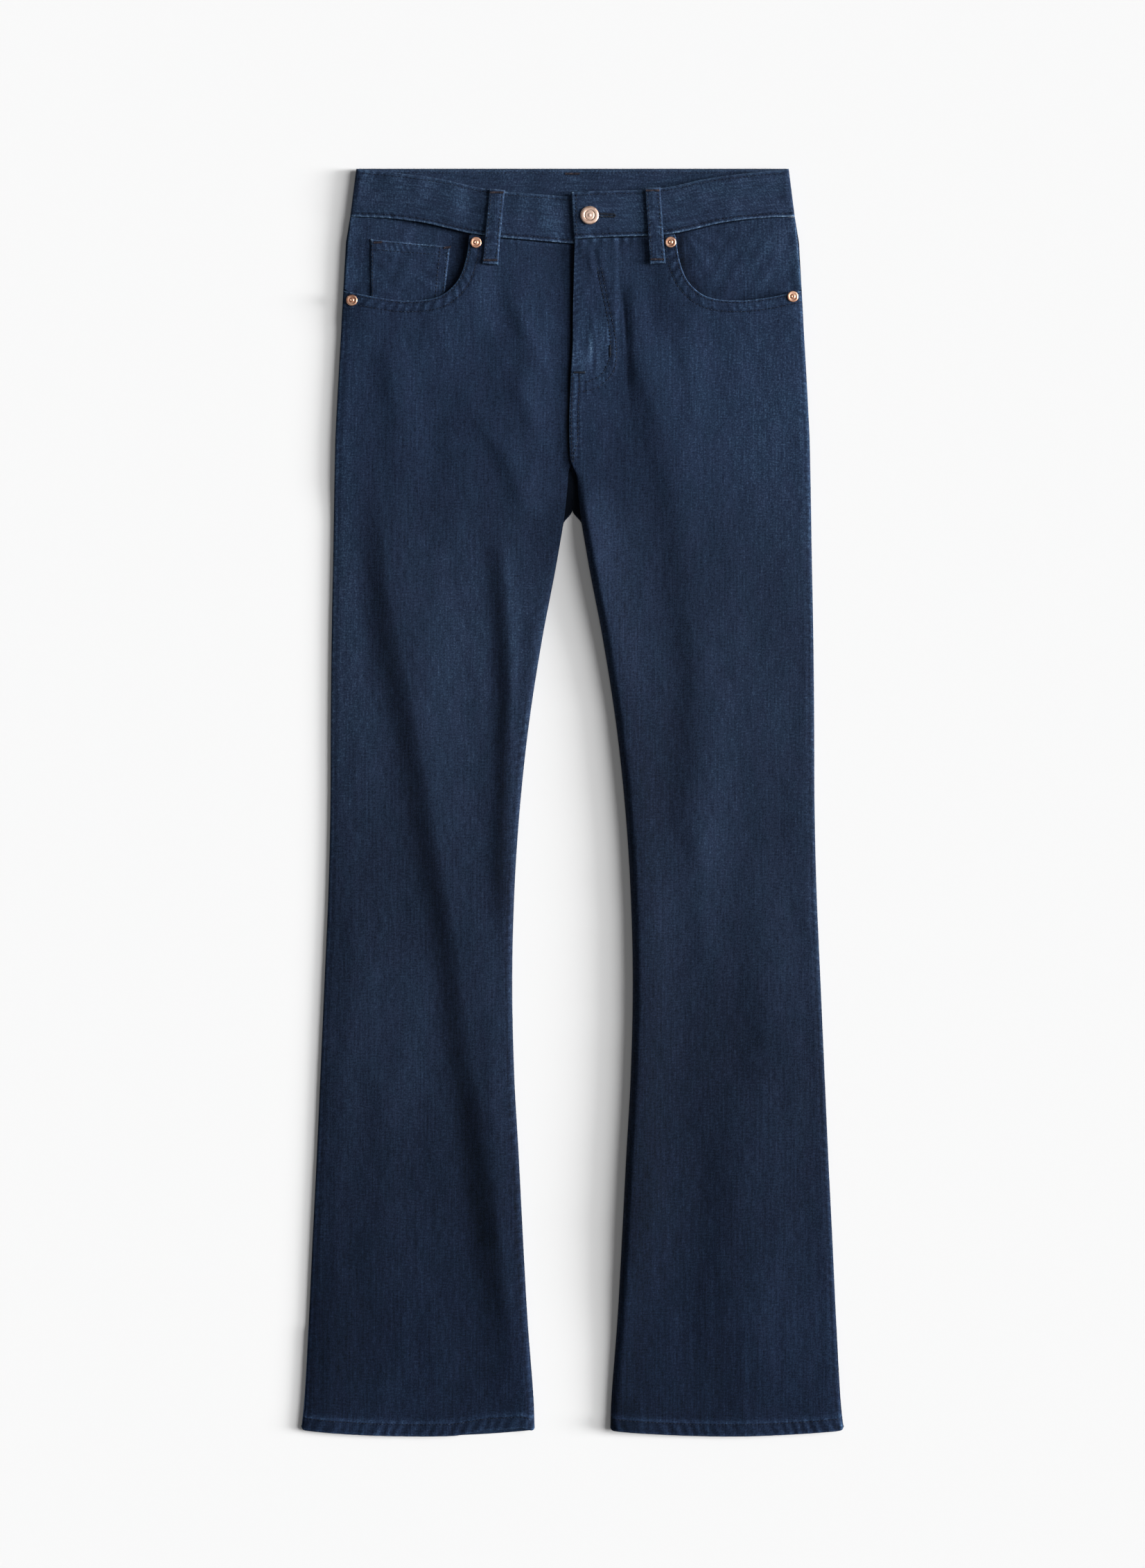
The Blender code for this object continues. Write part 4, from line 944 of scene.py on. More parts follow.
def backPiece(node, side, across, down):
    grid = upright(side * across, down, backHeight(side, across, down))
    wearAndPaintedShade = backWorn(side, across, down)
    # painted shade in the fork, where the back shows in the slot between the legs
    inside = wearAndPaintedShade * 0.2 + 0.02 - 0.9 * bell(across, 16) * bell(down - 275, 30)  # dark in the fork
    clothShell(node, grid, back["thick"], under, clothPlace(side * across, down), wearAndPaintedShade, inside)


def seatColumns(down):  # the columns above the fork, from the side to the centre seam
    return acrossColumns(backOuter(down), back["seamGap"], layers["backRoll"], back["between"])


def backPanelPiece(node, side):
    steps = int(round((back["hemStart"] - back["fanDown"]) / back["rowStep"]))
    rows = np.linspace(back["fanDown"], back["hemStart"], steps + 1)
    rows = np.concatenate([rows[rows < 284], np.arange(*back["forkRows"]), rows[rows > 306]])
    hem = back["hemStart"] + np.array([0.8, 3, 5.5, 8, 10, 11.2, 11.8])
    rows = np.concatenate([rows, hem])
    lowX = acrossColumns(backOuter(rows), backInner(rows), layers["backRoll"], back["between"])
    share = (lowX[:, :1] - lowX) / (lowX[:, :1] - lowX[:, -1:])
    lowDown = hemShape(rows[:, None], share)
    start = seatColumns(back["yokeSide"])
    fan = np.linspace(0, 1, back["fanRows"])[:-1]
    if (len(fan) + len(rows)) % 2 == 0:
        fan = fan[:-1]
    fanX = mix(start[None], lowX[:1], fan[:, None])
    fanDown = mix(yokeSeam(start)[None] + layers["gap"] / 2, lowDown[:1], fan[:, None])
    across, down = np.concatenate([fanX, lowX]), np.concatenate([fanDown, lowDown])
    backPiece(node, side, across, down)


def backYokePiece(node, side):
    high, low = seatColumns(waist["backBottom"]), seatColumns(back["yokeSide"])
    share = np.linspace(0, 1, back["fanRows"])[:, None]
    across = mix(high[None], low[None], share)
    down = mix(waist["backBottom"] + layers["gap"], yokeSeam(low)[None] - layers["gap"] / 2, share)
    backPiece(node, side, across, down)


for side, word in bothSides:
    backPanelPiece(f"back_panel_{word}", side)
    backYokePiece(f"back_yoke_{word}", side)
print("back panels and yokes made")


# Waistband: one strip from its hidden right end round the back to the tab.

def bandRelief(x, downShare, side):
    # Soft slanting crumples, stronger on the photo's left, and gathers at both stitched edges.
    along = x + 14 * downShare * (1 if side == right else -1)
    relief = 0.26 * waves(along, downShare * 22, 26, 101)
    relief = relief + 0.08 * waves(along, downShare * 30, 11, 102)
    for edge, seed in ((0, 103), (1, 104)):
        away = np.abs(downShare - edge) * waist["width"]
        relief += 0.17 * pucker(away - 2, x, waist["pitch"], 5, 0.6, seed)
    return relief


def bandHeight(side, across, down):
    across, down = np.broadcast_arrays(np.asarray(across, float), np.asarray(down, float))
    top, bottom = bandEdges(side, across)
    share = np.clip((down - top) / (bottom - top), 0, 1)
    inset = np.minimum(down - top, bottom - down)
    fromEnd = across if side == left else across + 30
    relief = bandRelief(side * across, share, side) * ease(-4, 14, fromEnd)
    relief = relief + waist["pillow"] * np.sin(math.pi * share)
    relief = relief - 0.3 * bell(inset - waist["stitchInset"], 1.0)
    hidden = (1 - ease(0, 12, across)) if side == right else 0
    relief = relief * (1 - 0.9 * hidden)
    curled = waist["curlDrop"] * (1 - rounded(inset, waist["curl"]))
    return bandTop(side, across) + relief - curled


def lastOnes(total, count):  # true for the last ones of them
    return np.arange(total) >= total - count


def bandPiece(node):
    share = np.linspace(0, 1, waist["rows"] - 6)
    curl = np.array([0.006, 0.016, 0.03])
    share = np.sort(np.concatenate([share, curl, 1 - curl]))
    radius = (waist["front"] - waist["sideFall"][0] - waist["underside"]) / 2
    turns = np.linspace(0, 1, 15)
    angle = math.pi * (0.5 - turns)
    turnX = waist["side"] - radius * (1 - np.cos(angle))
    turnZ = waist["underside"] + radius * (1 + np.sin(angle))
    lowAcross = waist["side"] - radius - 1.0
    rightAcross = np.linspace(-waist["lap"], lowAcross, 121)
    backAcross = np.linspace(lowAcross - 1, -(lowAcross - 1), 115)
    leftAcross = np.concatenate([np.linspace(lowAcross, 3, 109), [1.6, 0.6, 0.2, 0]])
    spans = [
        (right, rightAcross, None, 0 * rightAcross),
        (right, turnX, turnZ, turns),
        (0, backAcross, None, None),
        (left, turnX[::-1], turnZ[::-1], turns[::-1]),
        (left, leftAcross, None, 0 * leftAcross),
    ]
    xs, downs, heights = [], [], []
    for side, across, height, atBack in spans:
        if side == 0:  # the back half lies under the front, on the floor's side
            across, side = -across, np.sign(-across) + (across == 0)
            x = across[:, None] * mix(waist["topShare"], 1, share)[None]
            down = np.broadcast_to(share[None] * waist["backBottom"], x.shape)
            z = waist["underside"] + 0.12 * (1 + waves(x, down, 26, 105)) + 0 * x
            inset = np.minimum(share, 1 - share)[None] * waist["backBottom"]
            z = z + 0.5 * (1 - rounded(inset, 1.4))
        else:
            top, bottom = bandEdges(side, across)
            if height is not None:
                top, bottom = mix(top, 0, atBack), mix(bottom, waist["backBottom"], atBack)
            down = mix(top[:, None], bottom[:, None], share[None])
            x = side * across[:, None] * mix(waist["topShare"], 1, share)[None]
            if height is None:
                z = bandHeight(side, np.broadcast_to(across[:, None], x.shape), down)
            else:
                z = height[:, None] + 0 * x
                inset = np.minimum(share, 1 - share)[None] * waist["width"]
                away = (1 - 2 * atBack)[:, None]
                z = z - away * waist["curlDrop"] * (1 - rounded(inset, waist["curl"]))
        xs.append(x)
        downs.append(down)
        heights.append(z)
    x, down, z = np.concatenate(xs), np.concatenate(downs), np.concatenate(heights)
    atTab = lastOnes(len(x), len(leftAcross))[:, None]
    z = z - atTab * 1.0 * (1 - rounded(x, 1.6)) - atTab * 0.3 * bell(x - 3.4, 0.9)
    tab = mix(waist["tabEdge"][0], waist["tabEdge"][1], share)
    x = np.where(atTab & (x < 12), mix(x, x - tab[None], 1 - np.clip(x / 12, 0, 1)), x)
    if len(x) % 2 == 0:
        x, down, z = x[1:], down[1:], z[1:]
    grid = upright(x, down, z).transpose(1, 0, 2)
    # the cloth's place: its warp runs along the band
    steps = np.linalg.norm(np.diff(grid, axis=1), axis=2)
    length = np.concatenate([np.zeros((len(share), 1)), np.cumsum(steps, axis=1)], axis=1)
    places = np.stack([share[:, None] * waist["width"] + 0 * length, length], -1)
    inset = np.minimum(share, 1 - share)[:, None] * waist["width"]
    wearAndShade = 0.12 + 0.05 * waves(grid[..., 0] + 12 * share[:, None], share[:, None] * 24, 24, 101)
    low = (1 - share[:, None]) * waist["width"]  # the lower edge is rubbed most
    wearAndShade = wearAndShade + 0.22 * bell(low - 0.7, 0.9) - 0.22 * bell(low - waist["stitchInset"], 0.9)
    edge = 0.2 + 0.1 * pucker(0, grid[..., 0], waist["pitch"], 5, 0, 103)
    wearAndShade = wearAndShade + edge * bell(inset - 0.5, 0.9)
    crest = pucker(inset - 3, grid[..., 0], waist["pitch"], 4, 0.6, 103)
    wearAndShade = wearAndShade + 0.1 * np.clip(crest, -0.5, 1) - 0.1 * bell(inset - waist["stitchInset"], 0.9)
    tabSide = lastOnes(grid.shape[1], len(leftAcross))[None]
    wearAndShade = wearAndShade + tabSide * 0.42 * bell(grid[..., 0] - 0.4, 1.0)
    inside = 0.08 + 0.25 * bell(inset - 0.6, 1.4) + 0.05 * waves(grid[..., 0], inset, 30, 106)
    clothShell(node, grid, waist["thick"], under, places, wearAndShade, inside)


bandPiece("waistband")
print("waistband made")


# Pocket facings and coin pocket.

facing = {
    "inner": 79.0,
    "across": [79, 90, 103, 120, 145, 175, 186, 192],
    "bottom": [90, 104, 113, 119, 120.5, 115, 106, 102.2],
    "bulge": 1.2, "bulgeAcross": 165.0, "bulgeReach": 24.0, "bulgeFade": (70, 98),
    "edge": (-10, -1),
}
coin = {
    "top": [(103.1, 66.2), (170.6, 59.9)], "bottom": [(108.4, 111.0), (170.2, 114.5)],
    "wide": 65, "tall": 50, "mouthRun": 67, "curl": 1.3, "thick": 0.95,
    "mouthRows": (1.7, 8.2), "sideRows": (1.7, 8.0),  # stitches, from the edge
}


def facingHeight(side, across, down):
    x = side * across
    bulge = facing["bulge"] * bell(across - facing["bulgeAcross"], facing["bulgeReach"])
    bulge = bulge * (1 - ease(*facing["bulgeFade"], down))
    atSide = ease(*facing["edge"], across - outerEdge(down))
    atSide = (layers["backRoll"] - layers["denim"]) * atSide
    crease = 0.14 * (1 + waves(x + down * 0.5, down * 0.5, 17, 111 + side)) * ease(42, 60, down)
    # folds that fan out below the waistband's corner
    angle = np.arctan2(down - 48, across - 92)
    fan = np.sin(angle * 13 + 0.5 * side) * bell(np.hypot(across - 92, down - 48) - 32, 24)
    crease = crease + (0.35 if side == left else 0.12) * np.clip(fan, -0.3, 1)
    crease = crease * (1 - ease(-6, 6, across - outerEdge(down) + 8))
    return lift(down) + layers["denim"] + layers["gap"] + layers["facing"] + bulge + atSide + crease


def facingPiece(node, side):
    edge = facing["across"][-1]
    share = np.linspace(0, 1, 77)
    fall = np.linspace(0, 1, 45)
    across = mix(facing["inner"], edge, share)
    top = bandEdges(side, across)[1] + layers["gap"]
    bottom = readTable(facing["across"], facing["bottom"], across)
    down = mix(top[None], bottom[None], fall[:, None])
    across = mix(facing["inner"], outerEdge(down), share[None])
    grid = upright(side * across, down, facingHeight(side, across, down))
    behind = nearPath(mouthPath, across, down)[0]  # it is dark just behind the mouth
    # painted shade just behind the pocket mouth, under the panel's edge and deepest at its inner
    # end; on the left facing, painted light towards the side
    shade = -0.16 * bell(behind, 9)
    shade = shade - 0.3 * bell(behind, 10) * (1 - ease(98, 116, across))
    shade = shade + (0.1 * ease(120, 185, across) if side == left else 0)
    wearAndShade = shade + 0.07 + 0.04 * waves(side * across + down * 0.5, down * 0.5, 16, 113)
    wearAndShade = wearAndShade + 0.25 * bell(outerEdge(down) - across, 2.5)
    clothShell(node, grid, layers["facing"], up, clothPlace(side * across, down), wearAndShade)


def coinPlace(share, fall):
    top = [mix(a, b, share) for a, b in zip(*coin["top"])]
    bottom = [mix(a, b, share) for a, b in zip(*coin["bottom"])]
    return [mix(a, b, fall) for a, b in zip(top, bottom)]


def coinGathers(share, fall, reach):  # under the two rows at the coin pocket's mouth
    return pucker(fall * coin["tall"] - 5, share * coin["mouthRun"], 5.5, reach, 0.5, 122)


def coinHeight(across, down, share, fall):
    inset = np.minimum(np.minimum(share, 1 - share) * coin["wide"], fall * coin["tall"])
    plain = facingHeight(right, across, down) + layers["gap"] + layers["coin"]
    puff = 0.25 * ease(0, 12, inset) + 0.12 * waves(across, down, 14, 121)
    gathers = 0.22 * coinGathers(share, fall, 4.5)
    return plain + 0.2 + puff + gathers - 0.8 * (1 - rounded(inset, coin["curl"]))


def coinPiece(node):
    line = np.linspace(0, 1, 53)
    line = np.sort(np.concatenate([line, [0.008, 0.992]]))
    share, fall = np.meshgrid(line, line)
    across, down = coinPlace(share, fall)
    grid = upright(right * across, down, coinHeight(across, down, share, fall))
    wearAndShade = 0.05 + 0.05 * waves(across, down, 16, 123)
    wearAndShade = wearAndShade + 0.42 * bell(fall * coin["tall"] - 0.4, 0.9)
    wearAndShade = wearAndShade + 0.3 * bell(share * coin["wide"] - 0.4, 0.9)
    wearAndShade = wearAndShade + 0.2 * bell((1 - share) * coin["wide"] - 0.4, 0.9)
    wearAndShade = wearAndShade + 0.2 * np.clip(coinGathers(share, fall, 4), -0.5, 1)
    clothShell(node, grid, coin["thick"], up, clothPlace(right * across, down), wearAndShade)


for side, word in bothSides:
    facingPiece(f"pocket_facing_{word}", side)
coinPiece("coin_pocket")
print("pocket facings and coin pocket made")


# Back pockets and belt loops.

backPocket = {
    "topWidth": 138.0, "lowWidth": 122.0, "side": 124.0, "point": 145.0,
    "across": 98.0, "down": 104.0, "tilt": math.radians(4), "thick": 1.2,
    "size": 130, "floorGap": 0.02, "curl": 1.4, "curlDrop": 0.45,
    # rows of stitches, as shares of the patch's width and height
    "sideRows": (0.014, 0.06), "topRows": (0.02, 0.075),
}


def pocketPlace(share, fall):
    # share runs over the patch's width and fall from its top edge to its pointed lower edge
    half = mix(backPocket["topWidth"], backPocket["lowWidth"], np.clip(fall, 0, 1)) / 2
    out = (share * 2 - 1) * half
    depth = mix(backPocket["side"], backPocket["point"], 1 - np.abs(share * 2 - 1))
    drop = fall * depth
    turn, lean = math.cos(backPocket["tilt"]), math.sin(backPocket["tilt"])
    return (backPocket["across"] + out * turn + drop * lean,
            backPocket["down"] + drop * turn - out * lean)


def pocketInset(share, fall):  # about how far inside the patch's edge, in millimetres
    size = backPocket["size"]
    return np.minimum(np.minimum(share, 1 - share) * size, np.minimum(fall, 1 - fall) * size)


def pocketHeight(share, fall):
    curled = 1 - rounded(pocketInset(share, fall), backPocket["curl"])
    return backPocket["floorGap"] + backPocket["curlDrop"] * curled + 0 * share


def backPocketPiece(node, side):
    line = np.sort(np.concatenate([np.linspace(0, 1, 37), [0.004, 0.011, 0.989, 0.996]]))
    share, fall = np.meshgrid(line, line)
    across, down = pocketPlace(share, fall)
    grid = upright(side * across, down, pocketHeight(share, fall))
    inset = pocketInset(share, fall)
    wearAndShade = 0.06 + 0.08 * waves(across, down, 40, 131) + 0.3 * bell(inset - 0.5, 1.2)
    wearAndShade = wearAndShade + 0.3 * np.clip(pucker(inset - 4, across + down, 7, 4, 0.4, 132), -0.4, 1)
    wearAndShade = wearAndShade - 0.15 * bell(inset - 1.9, 0.8) - 0.15 * bell(inset - 8.0, 0.8)
    clothShell(node, grid, backPocket["thick"], under, clothPlace(side * across, down), wearAndShade)


loops = {
    "belt_loop_front_right": {"side": right, "top": (63.5, 18.6), "foot": (69.4, 81.9)},
    "belt_loop_front_left": {"side": left, "top": (67.3, 17.0), "foot": (71.7, 81.3)},
    "belt_loop_back_centre": {"side": left, "top": (0, 0.4), "foot": (0, 64)},
    "belt_loop_back_right": {"side": right, "top": (122, 0.4), "foot": (126, 64)},
    "belt_loop_back_left": {"side": left, "top": (122, 0.4), "foot": (126, 64)},
}
loopForm = {
    "width": 13.0, "length": 63, "columns": 17, "rows": 61, "clear": 0.35, "curl": 1.3,
    "bow": 1.0, "end": 0.085, "endSoft": 0.012, "endRaise": 0.55,
    "frontThick": 1.5, "backThick": 1.25, "backWear": 0.6,
    "stitchOff": 4.6, "tackHalf": 5.6, "tackPlaces": (0.045, 0.945),
}


def surfaceTop(side, across, down):  # whatever the front shows here: waistband or panel
    bottom = bandEdges(side, across)[1] + layers["gap"]
    onBand = bandHeight(side, across, np.minimum(down, bottom - layers["gap"] - 0.01))
    return np.where(down < bottom, onBand, frontHeight(side, across, down))


def loopCentre(loop, fall):
    (topAcross, topDown), (footAcross, footDown) = loop["top"], loop["foot"]
    return mix(topAcross, footAcross, fall), mix(topDown, footDown, fall)


def loopBase(loop, fall):  # height of the loop's middle, riding over what lies under it
    middle, down = loopCentre(loop, fall)
    reach = np.array([-4, -2, 0, 2, 4.0])
    offs = np.array([-6.5, -3.2, 0, 3.2, 6.5])
    acrossAll = middle[:, None, None] + offs[None, :, None] + 0 * reach
    downAll = down[:, None, None] + reach[None, None, :] + 0 * offs[None, :, None]
    carried = surfaceTop(loop["side"], acrossAll, downAll).max((1, 2))
    padded = np.pad(carried, 4, mode="edge")
    carried = np.maximum(carried, np.convolve(padded, np.ones(9) / 9, "valid"))
    return carried + loopForm["clear"] + layers["loop"] + loopForm["bow"] * np.sin(math.pi * fall)


def loopPiece(node, loop):
    front = "front" in node
    fall = np.linspace(0, 1, loopForm["rows"])
    width = np.linspace(-0.5, 0.5, loopForm["columns"] - 2)
    width = np.sort(np.concatenate([width, [-0.48, 0.48]]))
    middle, down = loopCentre(loop, fall)
    flare = 1 + 0.05 * ease(0.85, 1, fall)
    lean = (loop["foot"][0] - loop["top"][0]) / (loop["foot"][1] - loop["top"][1])
    off = width[None] * loopForm["width"] * flare[:, None]
    across, downs = middle[:, None] + off, down[:, None] - off * lean
    inset = (0.5 - np.abs(width))[None] * loopForm["width"]
    nearEnd = np.minimum(fall, 1 - fall)
    endInset = nearEnd[:, None] * loopForm["length"]
    edge = np.minimum(inset + 0 * endInset, endInset)
    curl = 1.0 * (1 - rounded(edge, loopForm["curl"]))
    if front:
        end, soft = loopForm["end"], loopForm["endSoft"]
        tucked = 1 - ease(end - soft, end + soft, nearEnd)
        z = loopBase(loop, fall)[:, None] + loopForm["endRaise"] * tucked[:, None]
        z = z + 0.18 * waves(across, downs, 9, 141) + 0.25 * bell(off, 2.6) - curl
        z = z - 0.25 * bell(np.abs(off) - 4.6, 0.7)
    else:
        z = 0.02 + curl * 0.5 + 0 * across
    grid = upright(loop["side"] * across, downs, z)
    wearAndShade = 0.12 + 0.06 * waves(across, downs, 9, 142) + 0.2 * bell(edge - 0.4, 0.8)
    wearAndShade = wearAndShade + 0.15 * bell(endInset - 0.8, 1.4)
    wearAndShade = wearAndShade + 0.18 * np.clip(pucker(inset - 2, downs, 4.2, 2.4, 0.5, 143), -0.4, 1)
    places = clothPlace(loop["side"] * across, downs)
    if front:
        clothShell(node, grid, loopForm["frontThick"], up, places, wearAndShade)
    else:
        clothShell(node, grid, loopForm["backThick"], under, places, wearAndShade * loopForm["backWear"])


for side, word in bothSides:
    backPocketPiece(f"back_pocket_{word}", side)
for name, loop in loops.items():
    loopPiece(name, loop)
print("back pockets and belt loops made")


# Stitching, by Geometry Nodes along lines that carry the cloth's normal.

stitchForm = {
    "row": {"Pitch": 3.1, "Length": 2.45, "Width": 0.6, "Height": 0.36, "Turn": 0.0},
    "tack": {"Pitch": 0.5, "Length": 2.3, "Width": 0.55, "Height": 0.55, "Turn": 1.35},
    "purl": {"Pitch": 0.62, "Length": 2.1, "Width": 0.6, "Height": 0.6, "Turn": 1.5708},
}


def stitchTree():
    tree = bpy.data.node_groups.new("stitches_along_lines", "GeometryNodeTree")
    face = tree.interface
    face.new_socket("Geometry", in_out="INPUT", socket_type="NodeSocketGeometry")
    for name in ("Pitch", "Length", "Width", "Height", "Turn", "Unevenness"):
        face.new_socket(name, in_out="INPUT", socket_type="NodeSocketFloat")
    face.new_socket("Seed", in_out="INPUT", socket_type="NodeSocketInt")
    face.new_socket("Material", in_out="INPUT", socket_type="NodeSocketMaterial")
    face.new_socket("Geometry", in_out="OUTPUT", socket_type="NodeSocketGeometry")
    given = addNode(tree, "NodeGroupInput").outputs
    lines = addNode(tree, "GeometryNodeMeshToCurve", {"Mesh": given["Geometry"]})
    spaced = addNode(tree, "GeometryNodeResampleCurve",
                     {"Curve": lines.outputs[0], "Length": given["Pitch"]}, mode="LENGTH")
    bead = addNode(tree, "GeometryNodeMeshUVSphere", {"Segments": 6, "Rings": 4, "Radius": 0.5})
    size = addNode(tree, "ShaderNodeCombineXYZ",
                   {"X": given["Length"], "Y": given["Width"], "Z": given["Height"]})
    shaped = addNode(tree, "GeometryNodeTransform",
                     {"Geometry": bead.outputs[0], "Scale": size.outputs[0]})
    normal = addNode(tree, "GeometryNodeInputNamedAttribute", {"Name": "lay"},
                     data_type="FLOAT_VECTOR")
    tangent = addNode(tree, "GeometryNodeInputTangent")
    facingTurn = addNode(tree, "FunctionNodeAxesToRotation", {
        "Primary Axis": normal.outputs[0], "Secondary Axis": tangent.outputs[0],
    }, primary_axis="Z", secondary_axis="X")
    wobble = addNode(tree, "FunctionNodeRandomValue", {
        "Min": -0.09, "Max": 0.09, "Seed": given["Seed"],
    }, data_type="FLOAT")
    turn = addNode(tree, "ShaderNodeMath", {0: given["Turn"], 1: wobble.outputs[1]},
                   operation="ADD")
    spin = addNode(tree, "ShaderNodeCombineXYZ", {"Z": turn.outputs[0]})
    spun = addNode(tree, "FunctionNodeRotateRotation", {
        "Rotation": facingTurn.outputs[0], "Rotate By": spin.outputs[0],
    }, rotation_space="LOCAL")
    low = addNode(tree, "ShaderNodeMath", {0: 1.0, 1: given["Unevenness"]}, operation="SUBTRACT")
    high = addNode(tree, "ShaderNodeMath", {0: 1.0, 1: given["Unevenness"]}, operation="ADD")
    scale = addNode(tree, "FunctionNodeRandomValue", {
        "Min": low.outputs[0], "Max": high.outputs[0], "Seed": given["Seed"],
    }, data_type="FLOAT")
    beads = addNode(tree, "GeometryNodeInstanceOnPoints", {
        "Points": spaced.outputs[0], "Instance": shaped.outputs[0],
        "Rotation": spun.outputs[0], "Scale": scale.outputs[1],
    })
    real = addNode(tree, "GeometryNodeRealizeInstances", {"Geometry": beads.outputs[0]})
    finish = addNode(tree, "GeometryNodeSetMaterial",
                     {"Geometry": real.outputs[0], "Material": given["Material"]})
    smooth = addNode(tree, "GeometryNodeSetShadeSmooth", {"Geometry": finish.outputs[0]})
    addNode(tree, "NodeGroupOutput", {"Geometry": smooth.outputs[0]})
    return tree


stitches = stitchTree()
sewn = {}
stitchRise, slopeStep = 0.18, 0.6  # millimetres: a stitch's middle over the cloth, and a probe


def onSide(heightOf, side, above=0.0):  # a piece's height over across and down alone
    return lambda across, down: heightOf(side, across, down) + above


def flatAt(height):
    return lambda across, down: height + 0 * across


def straight(count, facing=up):  # normals that all point up, or all down
    return np.tile([0, 0, float(facing)], (count, 1))


def surfaceLine(path, side, heightOf, facing=up, sink=0.05):
    # Points and normals on a piece's face over a path of across and down.
    across, down = path[:, 0], path[:, 1]
    z = heightOf(across, down)
    step = slopeStep
    slopeX = (heightOf(across + step, down) - heightOf(across - step, down)) / (2 * step) * side
    slopeY = -(heightOf(across, down + step) - heightOf(across, down - step)) / (2 * step)
    normals = np.stack([-slopeX, -slopeY, np.ones_like(z)], -1)
    normals *= facing / np.linalg.norm(normals, axis=1)[:, None]
    return upright(side * across, down, z + facing * (stitchRise - sink)), normals


def sew(group, kind, material, lines, seed):
    # One plain mesh of stitches from these lines; a group is the piece of cloth that they are on.
    spots, normals, edges = [], [], []
    for points, lay in lines:
        start = sum(map(len, spots))
        spots.append(points)
        normals.append(lay)
        edges += [(start + k, start + k + 1) for k in range(len(points) - 1)]
    mesh = bpy.data.meshes.new("line")
    mesh.from_pydata((np.concatenate(spots) * metre).tolist(), edges, [])
    lay = mesh.attributes.new("lay", "FLOAT_VECTOR", "POINT")
    lay.data.foreach_set("vector", np.concatenate(normals).astype(np.float32).ravel())
    piece = linked("line", mesh)
    modifier = piece.modifiers.new("stitches", "NODES")
    modifier.node_group = stitches
    sizes = dict(stitchForm[kind])
    turn = sizes.pop("Turn")
    values = {name: value * metre for name, value in sizes.items()}
    values.update({"Turn": turn, "Unevenness": 0.08, "Seed": seed, "Material": material})
    for item in stitches.interface.items_tree:
        if item.item_type == "SOCKET" and item.in_out == "INPUT" and item.name in values:
            modifier[item.identifier] = values[item.name]
    graph = bpy.context.evaluated_depsgraph_get()
    made = bpy.data.meshes.new_from_object(piece.evaluated_get(graph), depsgraph=graph)
    bpy.data.objects.remove(piece)
    made.name = f"{'stitching' if kind == 'row' else kind + 's'}_{group}"
    sewn.setdefault(group, []).append(linked(made.name, made))


def mirrored(path, side):  # photograph x and down to across and down
    return np.stack([path[:, 0] * side, path[:, 1]], -1)


def hemLine(outer, inner, above, side=None, step=1.6):
    share = np.linspace(0.015, 0.985, int(abs(outer - inner) / step))
    rowDown = frontPanel["hemDown"] - above
    return np.stack([mix(outer, inner, share), hemShape(rowDown, share, side)], -1)


for side, word in bothSides:
    height = onSide(frontHeight, side)
    panelLines = []
    mouthEven = evenPath(mouthPath, 1.0)
    for inset in mouth["stitchInsets"]:
        row = besidePath(mouthEven, inset)
        row = row[(row[:, 1] > bandEdges(side, row[:, 0])[1] + 0.8) & (row[:, 0] < 191.5)]
        panelLines.append(surfaceLine(evenPath(row, 1.2), side, height))
    hemAbove = frontPanel["hemHeight"] - 1.8
    rowDown = frontPanel["hemDown"] - hemAbove
    row = hemLine(outerEdge(rowDown) - 1.5, innerEdge(rowDown) + 1.5, hemAbove, side)
    panelLines.append(surfaceLine(row, side, height))
    if side == left:
        for name in ("outer", "inner"):
            panelLines.append(surfaceLine(evenPath(jPaths[name], 1.0), side, height, sink=-0.08))
        for inset in fly["rows"]:  # down the seam below the fly's curve
            down = np.arange(174.0, 247.5, 1.2)
            across = flyEdge(down) + mix(inset, min(inset, 3.2), ease(225, 247, down))
            panelLines.append(surfaceLine(np.stack([across, down], -1), side, height))
    sew(f"front_panel_{word}", "row", navyThread, panelLines, 3 + side)

    backFace = onSide(backHeight, side)
    backLines = []
    row = hemLine(backOuter(rowDown) - 1.5, innerEdge(rowDown) + 1.5, hemAbove)
    backLines.append(surfaceLine(row, side, backFace, under))
    for inset in back["yokeStitches"]:
        across = np.arange(3.0, 186.0, 1.5)
        row = np.stack([across, yokeSeam(across) + inset], -1)
        backLines.append(surfaceLine(row, side, backFace, under))
    down = np.arange(112.0, 280.0, 1.5)
    for inset in (back["centreStitches"] if side == left else ()):
        row = np.stack([0 * down + inset, down], -1)
        backLines.append(surfaceLine(row, side, backFace, under))
    sew(f"back_panel_{word}", "row", navyThread, backLines, 13 + side)

    pocketRows = []  # as shares of the patch's width and height
    for inset in backPocket["sideRows"]:
        corners = [(inset, 0.0), (inset, 1 - inset), (0.5, 1 - inset), (1 - inset, 1 - inset),
                   (1 - inset, 0.0)]
        pocketRows.append(evenPath(np.array(corners), 0.012))
    for drop in backPocket["topRows"]:
        share = np.linspace(0.015, 0.985, 80)
        pocketRows.append(np.stack([share, 0 * share + drop], -1))
    pocketLines = []
    for path in pocketRows:
        row = np.stack(pocketPlace(path[:, 0], path[:, 1]), -1)
        pocketLines.append(surfaceLine(row, side, flatAt(backPocket["floorGap"]), under))
    sew(f"back_pocket_{word}", "row", navyThread, pocketLines, 23 + side)

